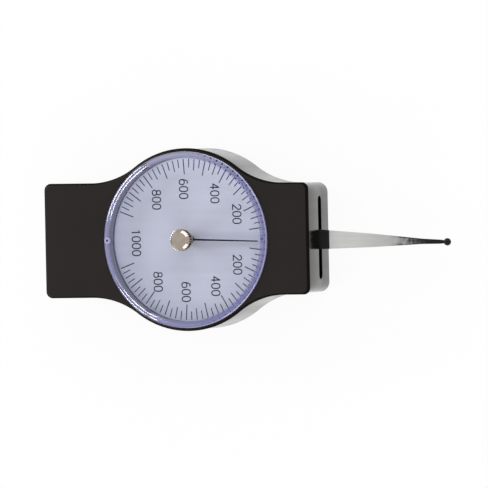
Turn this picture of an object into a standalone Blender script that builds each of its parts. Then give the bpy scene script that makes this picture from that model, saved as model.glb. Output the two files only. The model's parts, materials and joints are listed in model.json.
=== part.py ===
"""Dial tension gauge, a hand-size gauge for light forces, lying on its back.

Metres. +Z points up out of the dial, +X along the feeler. The origin is under the dial's centre, on the
back face. Heights are stacked from the back face for the lever, and from the front face for the dial.
"""

from math import acos, asin, atan2, copysign, cos, pi, radians, sin, sqrt, tan

import bmesh
import bpy
from numpy import interp

# Clearances
SEAT_GAP = 0.0003  # between two pieces that rest on or lie in each other
RUNNING_GAP = 0.0001  # round a shaft that turns in its bearing
PRESS_GAP = 0.0001  # round a shaft inside a piece that is fixed on it
SCREW_GAP = 0.00025  # round a screw's shank in its hole
SWING_GAP = 0.0004  # between the lever's layers and what it swings past
OVERRUN = 0.001  # how far a cutter runs past what it cuts

# Outline of the front cover
BODY_DEPTH = 0.021
DISC_RADIUS = 0.0329
NOSE_END = 0.0476
HANDLE_END = 0.0552
NOSE_HALF_HEIGHT = 0.0202
HANDLE_HALF_HEIGHT = 0.0206
NOSE_SHOULDER_SHARE = 0.792  # of the nose's end, where its straight side meets the curve to the disc
HANDLE_SHOULDER_SHARE = 0.6735
COVER_CORNER = 0.0024
COVER_EDGE_ROUNDING = 0.0007

# Case
CASE_INSET = 0.0005
CASE_CORNER = 0.0036
CASE_WALL = 0.0026
CASE_BACK_ROUNDING = 0.0006
INNER_CORNER = 0.001
RIM_WALL = 0.0016
SLOT_LENGTH = 0.03
SLOT_WIDTH = 0.003

# Case screws and their posts
POST_RADIUS = 0.0023
POST_FROM_NOSE_END = 0.0061
POST_FROM_HANDLE_END = 0.0053
POST_FROM_SIDE = 0.005
CASE_SCREW_RADIUS = 0.0008
CASE_SCREW_HEAD_RADIUS = 0.0017
CASE_SCREW_HEAD_HEIGHT = 0.0006
CASE_SCREW_SUNK = 0.00015
CROSS_WIDTH = 0.0005
CROSS_LENGTH = 0.0019
CROSS_DEPTH = 0.0003
CROWN_RADIUS_SHARE = 0.67  # of a screw head's radius, where its crown starts
CROWN_HEIGHT_SHARE = 0.33
SCREW_POINT_SHARE = 0.5  # a screw's chamfered point, of its radius
BOSS_RADIUS = 0.0019
BOSS_LENGTH = 0.0021
BOSS_FLOOR = 0.0008

# Dial and crystal
DIAL_HOLE_RADIUS = 0.0016
SEAT_WIDTH = 0.0019
COVER_RING_WIDTH = 0.00115  # of the cover's narrow ring between the crystal and the disc's edge
CRYSTAL_LIP = 0.00125  # from the crystal's edge in to the dial's
CRYSTAL_RISE = 0.001  # rim above the front face
CRYSTAL_SKIRT = 0.0011
CRYSTAL_ROUNDING = 0.0007
CRYSTAL_RIM_WIDTH = 0.0016
CRYSTAL_RIM_STEP = 0.0003
CRYSTAL_RIM_SLOPE = 0.0006
BUSH_RADIUS = 0.0024
BUSH_FLANGE_RADIUS = 0.0032
BUSH_FLANGE_HEIGHT = 0.0005

# Reset knob, its stem and the peak hand
KNOB_RISE = 0.0059  # above the front face
KNOB_HEIGHT = 0.0031
KNOB_RADIUS = 0.00395
KNOB_CHAMFER = 0.0006
KNOB_BOTTOM_CHAMFER = 0.0003
KNURL_COUNT = 32
KNURL_DEPTH = 0.00018
KNOB_NECK_RADIUS = 0.0022
STEM_RADIUS = 0.001
STEM_IN_KNOB = 0.0022
WASHER_THICKNESS = 0.0002
WASHER_RADIUS = 0.0023
HAND_HUB_RADIUS = 0.0017

# Pointer and its arbor
POINTER_LENGTH_SHARE = 0.892  # of the dial's radius
POINTER_TAIL = 0.0052
POINTER_TIP_WIDTH = 0.0004
POINTER_ROOT_WIDTH = 0.0007
POINTER_THICKNESS = 0.0002
HAND_REST_ANGLE = radians(-1.8)
ARBOR_RADIUS = 0.00075
ARBOR_BUSH_RADIUS = 0.0018

# Gears
GEAR_MODULE = 0.0004
PINION_TEETH = 12
SECTOR_FULL_TEETH = 96
SECTOR_TEETH = 15
PRESSURE_ANGLE = radians(20)
TOOTH_THICKNESS_SHARE = 0.84
ADDENDUM_SHARE = 0.85
DEDENDUM_SHARE = 1.2

# Lever
LEVER_REST_ANGLE = radians(-1.6)
LEVER_SWING = radians(20)
LEVER_SHAFT_RADIUS = 0.0015
LEVER_BUSH_RADIUS = 0.0025
HUB_RADIUS = 0.0045
ARM_LENGTH = 0.0139
ARM_HALF_WIDTH = 0.004
BLADE_START = 0.0052  # from the lever's axis
BLADE_LENGTH = 0.0687  # from its root to its neck
BLADE_ROOT_HALF_WIDTH = 0.0037
BLADE_PLACE_SHARES = (0, 0.25, 0.33, 0.60, 0.79, 0.875, 0.98, 1)  # of the length from root to neck
BLADE_WIDTH_SHARES = (1, 1, 0.925, 0.65, 0.385, 0.25, 0.185, 0.13)  # of the root's width, at those places
BLADE_STATION_SHARES = (0, 0.25, 0.33, 0.45, 0.60, 0.70, 0.79, 0.875, 0.93, 0.98, 1)
NECK_START_SHARE = 0.9
FLAT_BLUNTNESS = 0.25  # 0 gives a square section, 1 a round one
NECK_BLUNTNESS = 0.6
BALL_CLOSED_SHARE = 0.96  # the ball ends in a small flat here
NECK_RADIUS = 0.00048
BALL_RADIUS = 0.00135
BALL_REACH = 0.0752  # ball's centre from the lever's axis
BLADE_SCREW_PLACES = (0.0072, 0.0115)
BLADE_SCREW_RADIUS = 0.0007
BLADE_SCREW_HEAD_RADIUS = 0.0013
BLADE_SCREW_HEAD_HEIGHT = 0.0007
SECTOR_SCREW_CIRCLE = 0.0031
SECTOR_SCREW_RADIUS = 0.0005
SECTOR_SCREW_HEAD_RADIUS = 0.0009
SECTOR_SCREW_HEAD_HEIGHT = 0.0006
SECTOR_RIM_WIDTH = 0.0021
SECTOR_SPOKE_HALF_WIDTH = 0.0015
SECTOR_SIDE_SPOKE_WIDTH = 0.003
SECTOR_HUB_FAN_SHARE = 2  # half the opening at the hub, as a share of half the toothed fan

# Movement
PLATE_HALF_HEIGHT = 0.013
PILLAR_HANDLE_PLACE = (-0.009, 0.010)
PILLAR_NOSE_SIDE = 0.0112  # of the pillars at the nose, off the feeler's line
PILLAR_SEAT_MARGIN = 0.0012  # between their screws' heads and the edge of the dial's seat
PILLAR_RADIUS = 0.0015
PILLAR_SCREW_RADIUS = 0.0006
PILLAR_SCREW_HEAD_RADIUS = 0.0012
PILLAR_SCREW_HEAD_HEIGHT = 0.0006
PILLAR_SCREW_LENGTH = 0.0034
MOUNT_SCREW_WALL = 0.0005  # between a mount screw's hole and the dial's seat
MOUNT_SCREW_SIDES = (0.008, 0.005)  # of the handle and of the nose, off the feeler's line
PLATE_MARGIN = 0.0021  # of the plate past the screws and pins that are in it
MOUNT_SCREW_RADIUS = 0.0007
MOUNT_SCREW_HEAD_RADIUS = 0.0013
MOUNT_SCREW_HEAD_HEIGHT = 0.0007
MOUNT_SCREW_LENGTH = 0.0043
STOP_PIN_REACH = 0.0124  # along the arm, from the lever's axis
STOP_PIN_RADIUS = 0.001
STOP_GAP = 0.00025

# Springs
SPRING_THICKNESS = 0.0005
SPRING_TURNS = 3  # of either spring
SPRING_OUTER_RADIUS = 0.0088
SPRING_COLLET_RADIUS = 0.0026
SPRING_STUD_WIDTH = 0.002
HAIRSPRING_THICKNESS = 0.0002
HAIRSPRING_OUTER_RADIUS = 0.006
HAIRSPRING_COLLET_RADIUS = 0.0019
HAIRSPRING_STUD_WIDTH = 0.0014

# Counts of sides and steps
RING_SIDES = 64
SMALL_SIDES = 10
SHAFT_SIDES = 20
CORNER_POINTS = 5
FILLET_POINTS = 8
DISC_POINTS = 13
ROUNDING_STEPS = 3
SPRING_STEPS = 16
BLADE_SIDES = 12
BALL_STEPS = 8
TOOTH_STEPS = 3

# Thicknesses of the layers, as shares of the body's depth
REAR_COVER_DEPTH_SHARE = 0.076
REAR_PLATE_DEPTH_SHARE = 0.048
MAIN_SPRING_DEPTH_SHARE = 0.048
LEVER_ARM_DEPTH_SHARE = 0.06
FEELER_BLADE_DEPTH_SHARE = 0.057
HUB_ABOVE_BLADE_DEPTH_SHARE = 0.04
SECTOR_GEAR_DEPTH_SHARE = 0.048
PINION_OVERLAP_DEPTH_SHARE = 0.014  # the pinion stands this much past the sector on both sides
HAIRSPRING_DEPTH_SHARE = 0.029
HAIRSPRING_COLLET_DEPTH_SHARE = 0.048
FRONT_PLATE_DEPTH_SHARE = 0.057
DIAL_SEAT_DEPTH_SHARE = 0.071
DIAL_PLATE_DEPTH_SHARE = 0.024
UNDER_POINTER_DEPTH_SHARE = 0.033
POINTER_HUB_DEPTH_SHARE = 0.038
PEAK_HAND_HUB_DEPTH_SHARE = 0.014
CRYSTAL_DEPTH_SHARE = 0.081
FRONT_COVER_DEPTH_SHARE = 0.081

# Heights, stacked up from the back face
REAR_COVER_TOP = BODY_DEPTH * REAR_COVER_DEPTH_SHARE
LEDGE_HEIGHT = REAR_COVER_TOP + SEAT_GAP
REAR_PLATE_BOTTOM = LEDGE_HEIGHT + PILLAR_SCREW_HEAD_HEIGHT + SEAT_GAP + SWING_GAP
REAR_PLATE_TOP = REAR_PLATE_BOTTOM + BODY_DEPTH * REAR_PLATE_DEPTH_SHARE
SPRING_BOTTOM = REAR_PLATE_TOP + SEAT_GAP
SPRING_TOP = SPRING_BOTTOM + BODY_DEPTH * MAIN_SPRING_DEPTH_SHARE
ARM_BOTTOM = SPRING_TOP + SWING_GAP
ARM_TOP = ARM_BOTTOM + BODY_DEPTH * LEVER_ARM_DEPTH_SHARE
BLADE_BOTTOM = ARM_TOP + SEAT_GAP
BLADE_TOP = BLADE_BOTTOM + BODY_DEPTH * FEELER_BLADE_DEPTH_SHARE
SLOT_HEIGHT = (BLADE_BOTTOM + BLADE_TOP) / 2
HUB_TOP = BLADE_TOP + BODY_DEPTH * HUB_ABOVE_BLADE_DEPTH_SHARE
SECTOR_BOTTOM = HUB_TOP + SEAT_GAP
SECTOR_TOP = SECTOR_BOTTOM + BODY_DEPTH * SECTOR_GEAR_DEPTH_SHARE
PINION_BOTTOM = SECTOR_BOTTOM - BODY_DEPTH * PINION_OVERLAP_DEPTH_SHARE
PINION_TOP = SECTOR_TOP + BODY_DEPTH * PINION_OVERLAP_DEPTH_SHARE

# Heights, stacked down from the front face
COVER_BOTTOM = BODY_DEPTH - BODY_DEPTH * FRONT_COVER_DEPTH_SHARE
CASE_TOP = COVER_BOTTOM - SEAT_GAP
CRYSTAL_TOP = BODY_DEPTH + CRYSTAL_RISE
WINDOW_TOP = CRYSTAL_TOP - CRYSTAL_RIM_STEP
WINDOW_BOTTOM = WINDOW_TOP - BODY_DEPTH * CRYSTAL_DEPTH_SHARE
BUSH_TOP = WINDOW_TOP + SEAT_GAP + BUSH_FLANGE_HEIGHT
KNOB_TOP = BODY_DEPTH + KNOB_RISE
KNOB_BOTTOM = KNOB_TOP - KNOB_HEIGHT
WASHER_TOP = WINDOW_BOTTOM - SEAT_GAP
WASHER_BOTTOM = WASHER_TOP - WASHER_THICKNESS
PEAK_HUB_TOP = WASHER_BOTTOM - SEAT_GAP
PEAK_HUB_BOTTOM = PEAK_HUB_TOP - BODY_DEPTH * PEAK_HAND_HUB_DEPTH_SHARE
POINTER_HUB_TOP = PEAK_HUB_BOTTOM - SEAT_GAP
POINTER_HUB_BOTTOM = POINTER_HUB_TOP - BODY_DEPTH * POINTER_HUB_DEPTH_SHARE
DIAL_TOP = POINTER_HUB_BOTTOM - BODY_DEPTH * UNDER_POINTER_DEPTH_SHARE
DIAL_BOTTOM = DIAL_TOP - BODY_DEPTH * DIAL_PLATE_DEPTH_SHARE
SEAT_TOP = DIAL_BOTTOM - SEAT_GAP
DECK_BOTTOM = SEAT_TOP - BODY_DEPTH * DIAL_SEAT_DEPTH_SHARE
FRONT_PLATE_TOP = DECK_BOTTOM - SEAT_GAP
FRONT_PLATE_BOTTOM = FRONT_PLATE_TOP - BODY_DEPTH * FRONT_PLATE_DEPTH_SHARE

# The hairspring lies midway between the pinion and the front plate
HAIRSPRING_MIDDLE = (PINION_TOP + FRONT_PLATE_BOTTOM) / 2
HAIRSPRING_BOTTOM = HAIRSPRING_MIDDLE - BODY_DEPTH * HAIRSPRING_DEPTH_SHARE / 2
HAIRSPRING_TOP = HAIRSPRING_MIDDLE + BODY_DEPTH * HAIRSPRING_DEPTH_SHARE / 2

# Places in the plane of the dial
PINION_RADIUS = GEAR_MODULE * PINION_TEETH / 2
SECTOR_RADIUS = GEAR_MODULE * SECTOR_FULL_TEETH / 2
LEVER_X = PINION_RADIUS + SECTOR_RADIUS
CRYSTAL_RADIUS = DISC_RADIUS - COVER_RING_WIDTH
DIAL_RADIUS = CRYSTAL_RADIUS - CRYSTAL_LIP
POINTER_LENGTH = DIAL_RADIUS * POINTER_LENGTH_SHARE
DIAL_BORE = DIAL_RADIUS + SEAT_GAP
SEAT_BORE = DIAL_BORE + SEAT_GAP - SEAT_WIDTH
WALL_INSET = CASE_INSET + CASE_WALL
RECESS_INSET = CASE_INSET + RIM_WALL
PILLAR_CIRCLE = SEAT_BORE - PILLAR_SCREW_HEAD_RADIUS - PILLAR_SEAT_MARGIN
PILLAR_NOSE_PLACE = (sqrt(PILLAR_CIRCLE**2 - PILLAR_NOSE_SIDE**2), PILLAR_NOSE_SIDE)
REAR_PLATE_ENDS = (
    PILLAR_HANDLE_PLACE[0] - PILLAR_RADIUS - PLATE_MARGIN,
    max(LEVER_X + SPRING_OUTER_RADIUS, PILLAR_NOSE_PLACE[0] + PILLAR_RADIUS) + PLATE_MARGIN,
)
MOUNT_SCREW_CIRCLE = DIAL_BORE + SEAT_GAP + MOUNT_SCREW_WALL + MOUNT_SCREW_RADIUS + SCREW_GAP
MOUNT_SCREW_REACHES = [sqrt(MOUNT_SCREW_CIRCLE**2 - side**2) for side in MOUNT_SCREW_SIDES]
FRONT_PLATE_ENDS = (
    -MOUNT_SCREW_REACHES[0] - PLATE_MARGIN,
    max(MOUNT_SCREW_REACHES[1], LEVER_X + STOP_PIN_REACH) + PLATE_MARGIN,
)

parents = {}


def material(name, colour, roughness, metallic, alpha=1.0):
    made = bpy.data.materials.new(name)
    made.use_nodes = True
    shader = made.node_tree.nodes["Principled BSDF"]
    shader.inputs["Base Color"].default_value = (*colour, 1.0)
    shader.inputs["Roughness"].default_value = roughness
    shader.inputs["Metallic"].default_value = metallic
    shader.inputs["Alpha"].default_value = alpha
    made.diffuse_color = (*colour, alpha)
    return made


def clear_scene():
    for obj in list(bpy.data.objects):
        bpy.data.objects.remove(obj, do_unlink=True)


def make_parent(name, place, angle):
    """An empty on a joint's axis, which carries the pieces that turn about it."""
    empty = bpy.data.objects.new(name, None)
    empty.location = place
    empty.rotation_euler = (0, 0, angle)
    bpy.context.scene.collection.objects.link(empty)
    parents[name] = empty


def add(name, shape, colour_of=None, parent=None, smooth_angle=30):
    """Turns a bmesh into a named object, with its faces pointing out and its round sides smooth."""
    bmesh.ops.recalc_face_normals(shape, faces=shape.faces)
    mesh = bpy.data.meshes.new(name)
    shape.to_mesh(mesh)
    shape.free()
    mesh.shade_smooth()
    mesh.set_sharp_from_angle(angle=radians(smooth_angle))
    obj = bpy.data.objects.new(name, mesh)
    bpy.context.scene.collection.objects.link(obj)
    if colour_of:
        mesh.materials.append(colour_of)
    if parent:
        obj.parent = parents[parent]
    return obj


def repeat(name, shape, places, colour, parent=None):
    """One object for each place, all sharing one mesh that is modelled round the origin."""
    first = add(name + "_1", shape, colour, parent)
    objects = [first]
    for number in range(2, len(places) + 1):
        copy = first.copy()
        copy.name = f"{name}_{number}"
        bpy.context.scene.collection.objects.link(copy)
        objects.append(copy)
    for obj, place in zip(objects, places):
        obj.location = (place[0], place[1], 0)


def combine(target, tool, operation):
    tool.hide_render = True
    tool.display_type = "WIRE"
    tool.parent = target.parent
    modifier = target.modifiers.new(tool.name, "BOOLEAN")
    modifier.operation = operation
    modifier.solver = "EXACT"
    modifier.object = tool


def cut(target, name, shape):
    combine(target, add(name, shape), "DIFFERENCE")


def unite(target, name, shape):
    combine(target, add(name, shape), "UNION")


def arc(centre, radius, start, end, count):
    step = (end - start) / (count - 1)
    return [
        (centre[0] + radius * cos(start + step * k), centre[1] + radius * sin(start + step * k))
        for k in range(count)
    ]


def stacked(shape, levels):
    """Adds a solid to shape from closed loops of equally many points, each at its own height."""
    loops = [[shape.verts.new((x, y, height)) for x, y in points] for height, points in levels]
    count = len(loops[0])
    for low, high in zip(loops, loops[1:]):
        for k in range(count):
            n = (k + 1) % count
            shape.faces.new((low[k], low[n], high[n], high[k]))
    shape.faces.new(loops[0][::-1])
    shape.faces.new(loops[-1])
    return shape


def slab(points, bottom, top):
    return stacked(bmesh.new(), [(bottom, points), (top, points)])


def turned(shape, profile, sides, centre=(0.0, 0.0)):
    """Adds a turned solid or ring to shape, from a closed profile of (radius, height)."""
    rings = []
    for radius, height in profile:
        if radius == 0:
            rings.append([shape.verts.new((centre[0], centre[1], height))])
            continue
        points = arc(centre, radius, 0, 2 * pi * (sides - 1) / sides, sides)
        rings.append([shape.verts.new((x, y, height)) for x, y in points])
    pairs = list(zip(rings, rings[1:]))
    if len(rings[0]) > 1:
        pairs.append((rings[-1], rings[0]))
    for low, high in pairs:
        for k in range(sides):
            n = (k + 1) % sides
            corners = [low[k % len(low)], low[n % len(low)], high[n % len(high)], high[k % len(high)]]
            shape.faces.new(list(dict.fromkeys(corners)))
    return shape


def rod(shape, radius, bottom, top, sides=SMALL_SIDES, centre=(0.0, 0.0)):
    return turned(shape, [(0, bottom), (radius, bottom), (radius, top), (0, top)], sides, centre)


def tube(shape, bore, radius, bottom, top, sides=SHAFT_SIDES, centre=(0.0, 0.0)):
    return turned(shape, [(bore, bottom), (radius, bottom), (radius, top), (bore, top)], sides, centre)


def rods(radius, bottom, top, places, sides=SMALL_SIDES):
    shape = bmesh.new()
    for place in places:
        rod(shape, radius, bottom, top, sides, place)
    return shape


def screw(head_seat, tip, radius, head_radius, head_height, place=(0.0, 0.0)):
    """A pan-head screw along Z. Its head sits on head_seat, on the side away from the tip."""
    way = 1 if tip > head_seat else -1
    head = head_seat - way * head_height
    crown = head + way * head_height * CROWN_HEIGHT_SHARE
    profile = [(0, head), (head_radius * CROWN_RADIUS_SHARE, head), (head_radius, crown)]
    point = radius * SCREW_POINT_SHARE
    profile += [(head_radius, head_seat), (radius, head_seat), (radius, tip - way * point)]
    profile += [(radius - point, tip), (0, tip)]
    return turned(bmesh.new(), profile, SMALL_SIDES, place)


def both_sides(places):
    """Each place and its mirror image below the feeler's line."""
    return [(x, side * y) for x, y in places for side in (1, -1)]


def box(corner, far_corner):
    (x0, y0, z0), (x1, y1, z1) = corner, far_corner
    return slab([(x0, y0), (x1, y0), (x1, y1), (x0, y1)], z0, z1)


def quarter(half_height, end, shoulder_share, inset, corner):
    """The outline from the middle of one end to where its fillet meets the disc, for +X and +Y."""
    middle_x = end * shoulder_share
    fillet = (middle_x**2 + half_height**2 - DISC_RADIUS**2) / (2 * (DISC_RADIUS - half_height))
    middle_y = half_height + fillet
    meeting = atan2(middle_y, middle_x)
    corner_place = (end - inset - corner, half_height - inset - corner)
    points = arc(corner_place, corner, 0, pi / 2, CORNER_POINTS)
    points += arc((middle_x, middle_y), fillet + inset, -pi / 2, meeting - pi, FILLET_POINTS)
    return points, meeting


def body_outline(inset, corner):
    """The outline of the body, drawn in by inset, with rounded ears blended into the disc."""
    nose, nose_meeting = quarter(NOSE_HALF_HEIGHT, NOSE_END, NOSE_SHOULDER_SHARE, inset, corner)
    sizes = (HANDLE_HALF_HEIGHT, HANDLE_END, HANDLE_SHOULDER_SHARE)
    handle, handle_meeting = quarter(*sizes, inset, corner)
    disc = arc((0, 0), DISC_RADIUS - inset, nose_meeting, pi - handle_meeting, DISC_POINTS)
    upper = nose + disc[1:-1] + [(-x, y) for x, y in reversed(handle)]
    return upper + [(x, -y) for x, y in reversed(upper)]


def rounding(size):
    """Steps round a quarter of a circle: how far in, and how far below the top."""
    turns = [pi / 2 * k / ROUNDING_STEPS for k in range(ROUNDING_STEPS + 1)]
    return [(size * (1 - cos(turn)), size * (1 - sin(turn))) for turn in turns]


def inner_corner(inset):
    return max(CASE_CORNER - (inset - CASE_INSET), INNER_CORNER)


def case_screw_places():
    nose = (NOSE_END - POST_FROM_NOSE_END, NOSE_HALF_HEIGHT - POST_FROM_SIDE)
    handle = (POST_FROM_HANDLE_END - HANDLE_END, HANDLE_HALF_HEIGHT - POST_FROM_SIDE)
    return both_sides([nose, handle])


def pillar_places():
    return both_sides([PILLAR_HANDLE_PLACE, PILLAR_NOSE_PLACE])


def mount_screw_places():
    handle = (-MOUNT_SCREW_REACHES[0], MOUNT_SCREW_SIDES[0])
    nose = (MOUNT_SCREW_REACHES[1], MOUNT_SCREW_SIDES[1])
    return both_sides([handle, nose])


def make_case_body(metal):
    steps = rounding(CASE_BACK_ROUNDING)
    levels = [(down, body_outline(CASE_INSET + drawn_in, CASE_CORNER)) for drawn_in, down in reversed(steps)]
    levels.append((CASE_TOP, body_outline(CASE_INSET, CASE_CORNER)))
    body = add("case_body", stacked(bmesh.new(), levels), metal)

    recess = slab(body_outline(RECESS_INSET, inner_corner(RECESS_INSET)), -OVERRUN, LEDGE_HEIGHT)
    cut(body, "cut_rear_recess", recess)
    cavity = slab(body_outline(WALL_INSET, inner_corner(WALL_INSET)), LEDGE_HEIGHT - SEAT_GAP, DECK_BOTTOM)
    cut(body, "cut_cavity", cavity)
    opening = [(0, DECK_BOTTOM - OVERRUN), (SEAT_BORE, DECK_BOTTOM - OVERRUN), (SEAT_BORE, SEAT_TOP)]
    opening += [(DIAL_BORE + SEAT_GAP, SEAT_TOP), (DIAL_BORE + SEAT_GAP, CASE_TOP + OVERRUN)]
    opening.append((0, CASE_TOP + OVERRUN))
    cut(body, "cut_dial_seat", turned(bmesh.new(), opening, RING_SIDES))

    post_top = DECK_BOTTOM + OVERRUN / 2
    posts = rods(POST_RADIUS, LEDGE_HEIGHT + SEAT_GAP, post_top, case_screw_places(), SHAFT_SIDES)
    unite(body, "add_posts", posts)
    holes = bmesh.new()
    shank = CASE_SCREW_RADIUS + SCREW_GAP
    boss_floor = COVER_BOTTOM - BOSS_LENGTH - SEAT_GAP
    for place in case_screw_places():
        profile = [(0, 0), (shank, 0), (shank, boss_floor), (BOSS_RADIUS + SEAT_GAP, boss_floor)]
        profile += [(BOSS_RADIUS + SEAT_GAP, CASE_TOP + OVERRUN), (0, CASE_TOP + OVERRUN)]
        turned(holes, profile, SHAFT_SIDES, place)
    mount_top = FRONT_PLATE_BOTTOM + MOUNT_SCREW_LENGTH + SEAT_GAP
    for place in mount_screw_places():
        rod(holes, MOUNT_SCREW_RADIUS + SCREW_GAP, DECK_BOTTOM - OVERRUN, mount_top, SMALL_SIDES, place)
    cut(body, "cut_screw_holes", holes)

    radius = SLOT_WIDTH / 2
    reach = SLOT_LENGTH / 2 - radius
    ends = arc((reach, SLOT_HEIGHT), radius, -pi / 2, pi / 2, CORNER_POINTS)
    ends += arc((-reach, SLOT_HEIGHT), radius, pi / 2, 3 * pi / 2, CORNER_POINTS)
    slot = bmesh.new()
    wall_inside = NOSE_END - WALL_INSET
    near = [slot.verts.new((wall_inside - SEAT_GAP, y, z)) for y, z in ends]
    far = [slot.verts.new((NOSE_END + OVERRUN, y, z)) for y, z in ends]
    for k in range(len(ends)):
        n = (k + 1) % len(ends)
        slot.faces.new((near[k], near[n], far[n], far[k]))
    slot.faces.new(near[::-1])
    slot.faces.new(far)
    cut(body, "cut_slot", slot)


def make_front_cover(plastic):
    levels = [(COVER_BOTTOM, body_outline(0, COVER_CORNER))]
    for drawn_in, down in rounding(COVER_EDGE_ROUNDING):
        levels.append((BODY_DEPTH - down, body_outline(drawn_in, COVER_CORNER)))
    cover = add("front_cover", stacked(bmesh.new(), levels), plastic)
    low = COVER_BOTTOM - OVERRUN
    opening = rod(bmesh.new(), CRYSTAL_RADIUS + SEAT_GAP, low, CRYSTAL_TOP, RING_SIDES)
    cut(cover, "cut_crystal_opening", opening)
    bosses = rods(BOSS_RADIUS, COVER_BOTTOM - BOSS_LENGTH, BODY_DEPTH - BOSS_FLOOR, case_screw_places())
    unite(cover, "add_bosses", bosses)
    shank = CASE_SCREW_RADIUS + SCREW_GAP
    bottom = COVER_BOTTOM - BOSS_LENGTH - OVERRUN
    holes = rods(shank, bottom, BODY_DEPTH - BOSS_FLOOR, case_screw_places())
    cut(cover, "cut_boss_holes", holes)


def make_rear_cover(plastic):
    inset = RECESS_INSET + SEAT_GAP
    outline = body_outline(inset, inner_corner(inset))
    cover = add("rear_cover", slab(outline, 0, REAR_COVER_TOP), plastic)
    sunk = CASE_SCREW_SUNK + CASE_SCREW_HEAD_HEIGHT + SEAT_GAP
    shank = CASE_SCREW_RADIUS + SCREW_GAP
    head = CASE_SCREW_HEAD_RADIUS + SCREW_GAP
    holes = bmesh.new()
    for place in case_screw_places():
        profile = [(0, -OVERRUN), (head, -OVERRUN), (head, sunk), (shank, sunk)]
        profile += [(shank, REAR_COVER_TOP + OVERRUN), (0, REAR_COVER_TOP + OVERRUN)]
        turned(holes, profile, SHAFT_SIDES, place)
    cut(cover, "cut_rear_screw_holes", holes)


def make_case_screws(steel):
    seat = CASE_SCREW_SUNK + CASE_SCREW_HEAD_HEIGHT
    tip = BODY_DEPTH - BOSS_FLOOR - SEAT_GAP
    half = CROSS_WIDTH / 2
    reach = CROSS_LENGTH / 2
    corners = [(reach, half), (half, half), (half, reach)]
    ring = [point for k in range(4) for point in turned_points(corners, k * pi / 2)]
    for number, place in enumerate(case_screw_places(), 1):
        shape = screw(seat, tip, CASE_SCREW_RADIUS, CASE_SCREW_HEAD_RADIUS, CASE_SCREW_HEAD_HEIGHT, place)
        piece = add(f"case_screw_{number}", shape, steel)
        points = [(place[0] + x, place[1] + y) for x, y in ring]
        cross = slab(points, CASE_SCREW_SUNK - OVERRUN, CASE_SCREW_SUNK + CROSS_DEPTH)
        cut(piece, f"cut_cross_{number}", cross)


def turned_points(points, angle):
    return [(x * cos(angle) - y * sin(angle), x * sin(angle) + y * cos(angle)) for x, y in points]


def make_dial(white):
    shape = tube(bmesh.new(), DIAL_HOLE_RADIUS, DIAL_RADIUS, DIAL_BOTTOM, DIAL_TOP, RING_SIDES)
    add("dial_plate", shape, white)


def make_crystal(clear):
    skirt_outside = DIAL_RADIUS - PRESS_GAP
    skirt_inside = skirt_outside - CRYSTAL_SKIRT
    skirt_bottom = DIAL_TOP + SEAT_GAP
    profile = [(BUSH_RADIUS + SEAT_GAP, WINDOW_BOTTOM), (skirt_inside, WINDOW_BOTTOM)]
    profile += [(skirt_inside, skirt_bottom), (skirt_outside, skirt_bottom), (skirt_outside, COVER_BOTTOM)]
    profile.append((CRYSTAL_RADIUS, COVER_BOTTOM))
    for drawn_in, down in rounding(CRYSTAL_ROUNDING):
        profile.append((CRYSTAL_RADIUS - drawn_in, CRYSTAL_TOP - down))
    rim_inside = CRYSTAL_RADIUS - CRYSTAL_RIM_WIDTH
    profile += [(rim_inside, CRYSTAL_TOP), (rim_inside - CRYSTAL_RIM_SLOPE, WINDOW_TOP)]
    profile.append((BUSH_RADIUS + SEAT_GAP, WINDOW_TOP))
    add("crystal", turned(bmesh.new(), profile, RING_SIDES), clear)


def make_crystal_bush(brass):
    bore = STEM_RADIUS + RUNNING_GAP
    flange_bottom = WINDOW_TOP + SEAT_GAP
    profile = [(bore, WINDOW_BOTTOM), (BUSH_RADIUS, WINDOW_BOTTOM), (BUSH_RADIUS, flange_bottom)]
    profile += [(BUSH_FLANGE_RADIUS, flange_bottom), (BUSH_FLANGE_RADIUS, BUSH_TOP), (bore, BUSH_TOP)]
    add("crystal_bush", turned(bmesh.new(), profile, SHAFT_SIDES), brass)


def make_reset_knob(nickel, steel, black):
    knurl = []
    for k in range(2 * KNURL_COUNT):
        turn = pi * k / KNURL_COUNT
        knurl.append((cos(turn), sin(turn), k % 2))
    shape = bmesh.new()

    def ring(radius, height, depth=0.0):
        points = [((radius - depth * low) * x, (radius - depth * low) * y) for x, y, low in knurl]
        return (height, points)

    levels = [ring(KNOB_RADIUS - KNOB_BOTTOM_CHAMFER, KNOB_BOTTOM)]
    levels.append(ring(KNOB_RADIUS, KNOB_BOTTOM + KNOB_BOTTOM_CHAMFER, KNURL_DEPTH))
    levels.append(ring(KNOB_RADIUS, KNOB_TOP - KNOB_CHAMFER, KNURL_DEPTH))
    levels.append(ring(KNOB_RADIUS - KNOB_CHAMFER, KNOB_TOP))
    knob = add("reset_knob", stacked(shape, levels), nickel, "peak_axis")
    neck = rod(bmesh.new(), KNOB_NECK_RADIUS, BUSH_TOP + SEAT_GAP, KNOB_BOTTOM + KNOB_HEIGHT / 2, SHAFT_SIDES)
    unite(knob, "add_knob_neck", neck)
    stem_top = KNOB_BOTTOM + STEM_IN_KNOB
    hole = rod(bmesh.new(), STEM_RADIUS + PRESS_GAP, BUSH_TOP - OVERRUN, stem_top + SEAT_GAP, SHAFT_SIDES)
    cut(knob, "cut_stem_hole", hole)
    stem = rod(bmesh.new(), STEM_RADIUS, PEAK_HUB_BOTTOM, stem_top, SHAFT_SIDES)
    add("knob_stem", stem, steel, "peak_axis")
    washer = tube(bmesh.new(), STEM_RADIUS + PRESS_GAP, WASHER_RADIUS, WASHER_BOTTOM, WASHER_TOP)
    add("friction_washer", washer, steel)
    bore = STEM_RADIUS + PRESS_GAP
    make_hand("peak_hand", black, "peak_axis", bore, (PEAK_HUB_BOTTOM, PEAK_HUB_TOP))


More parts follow.
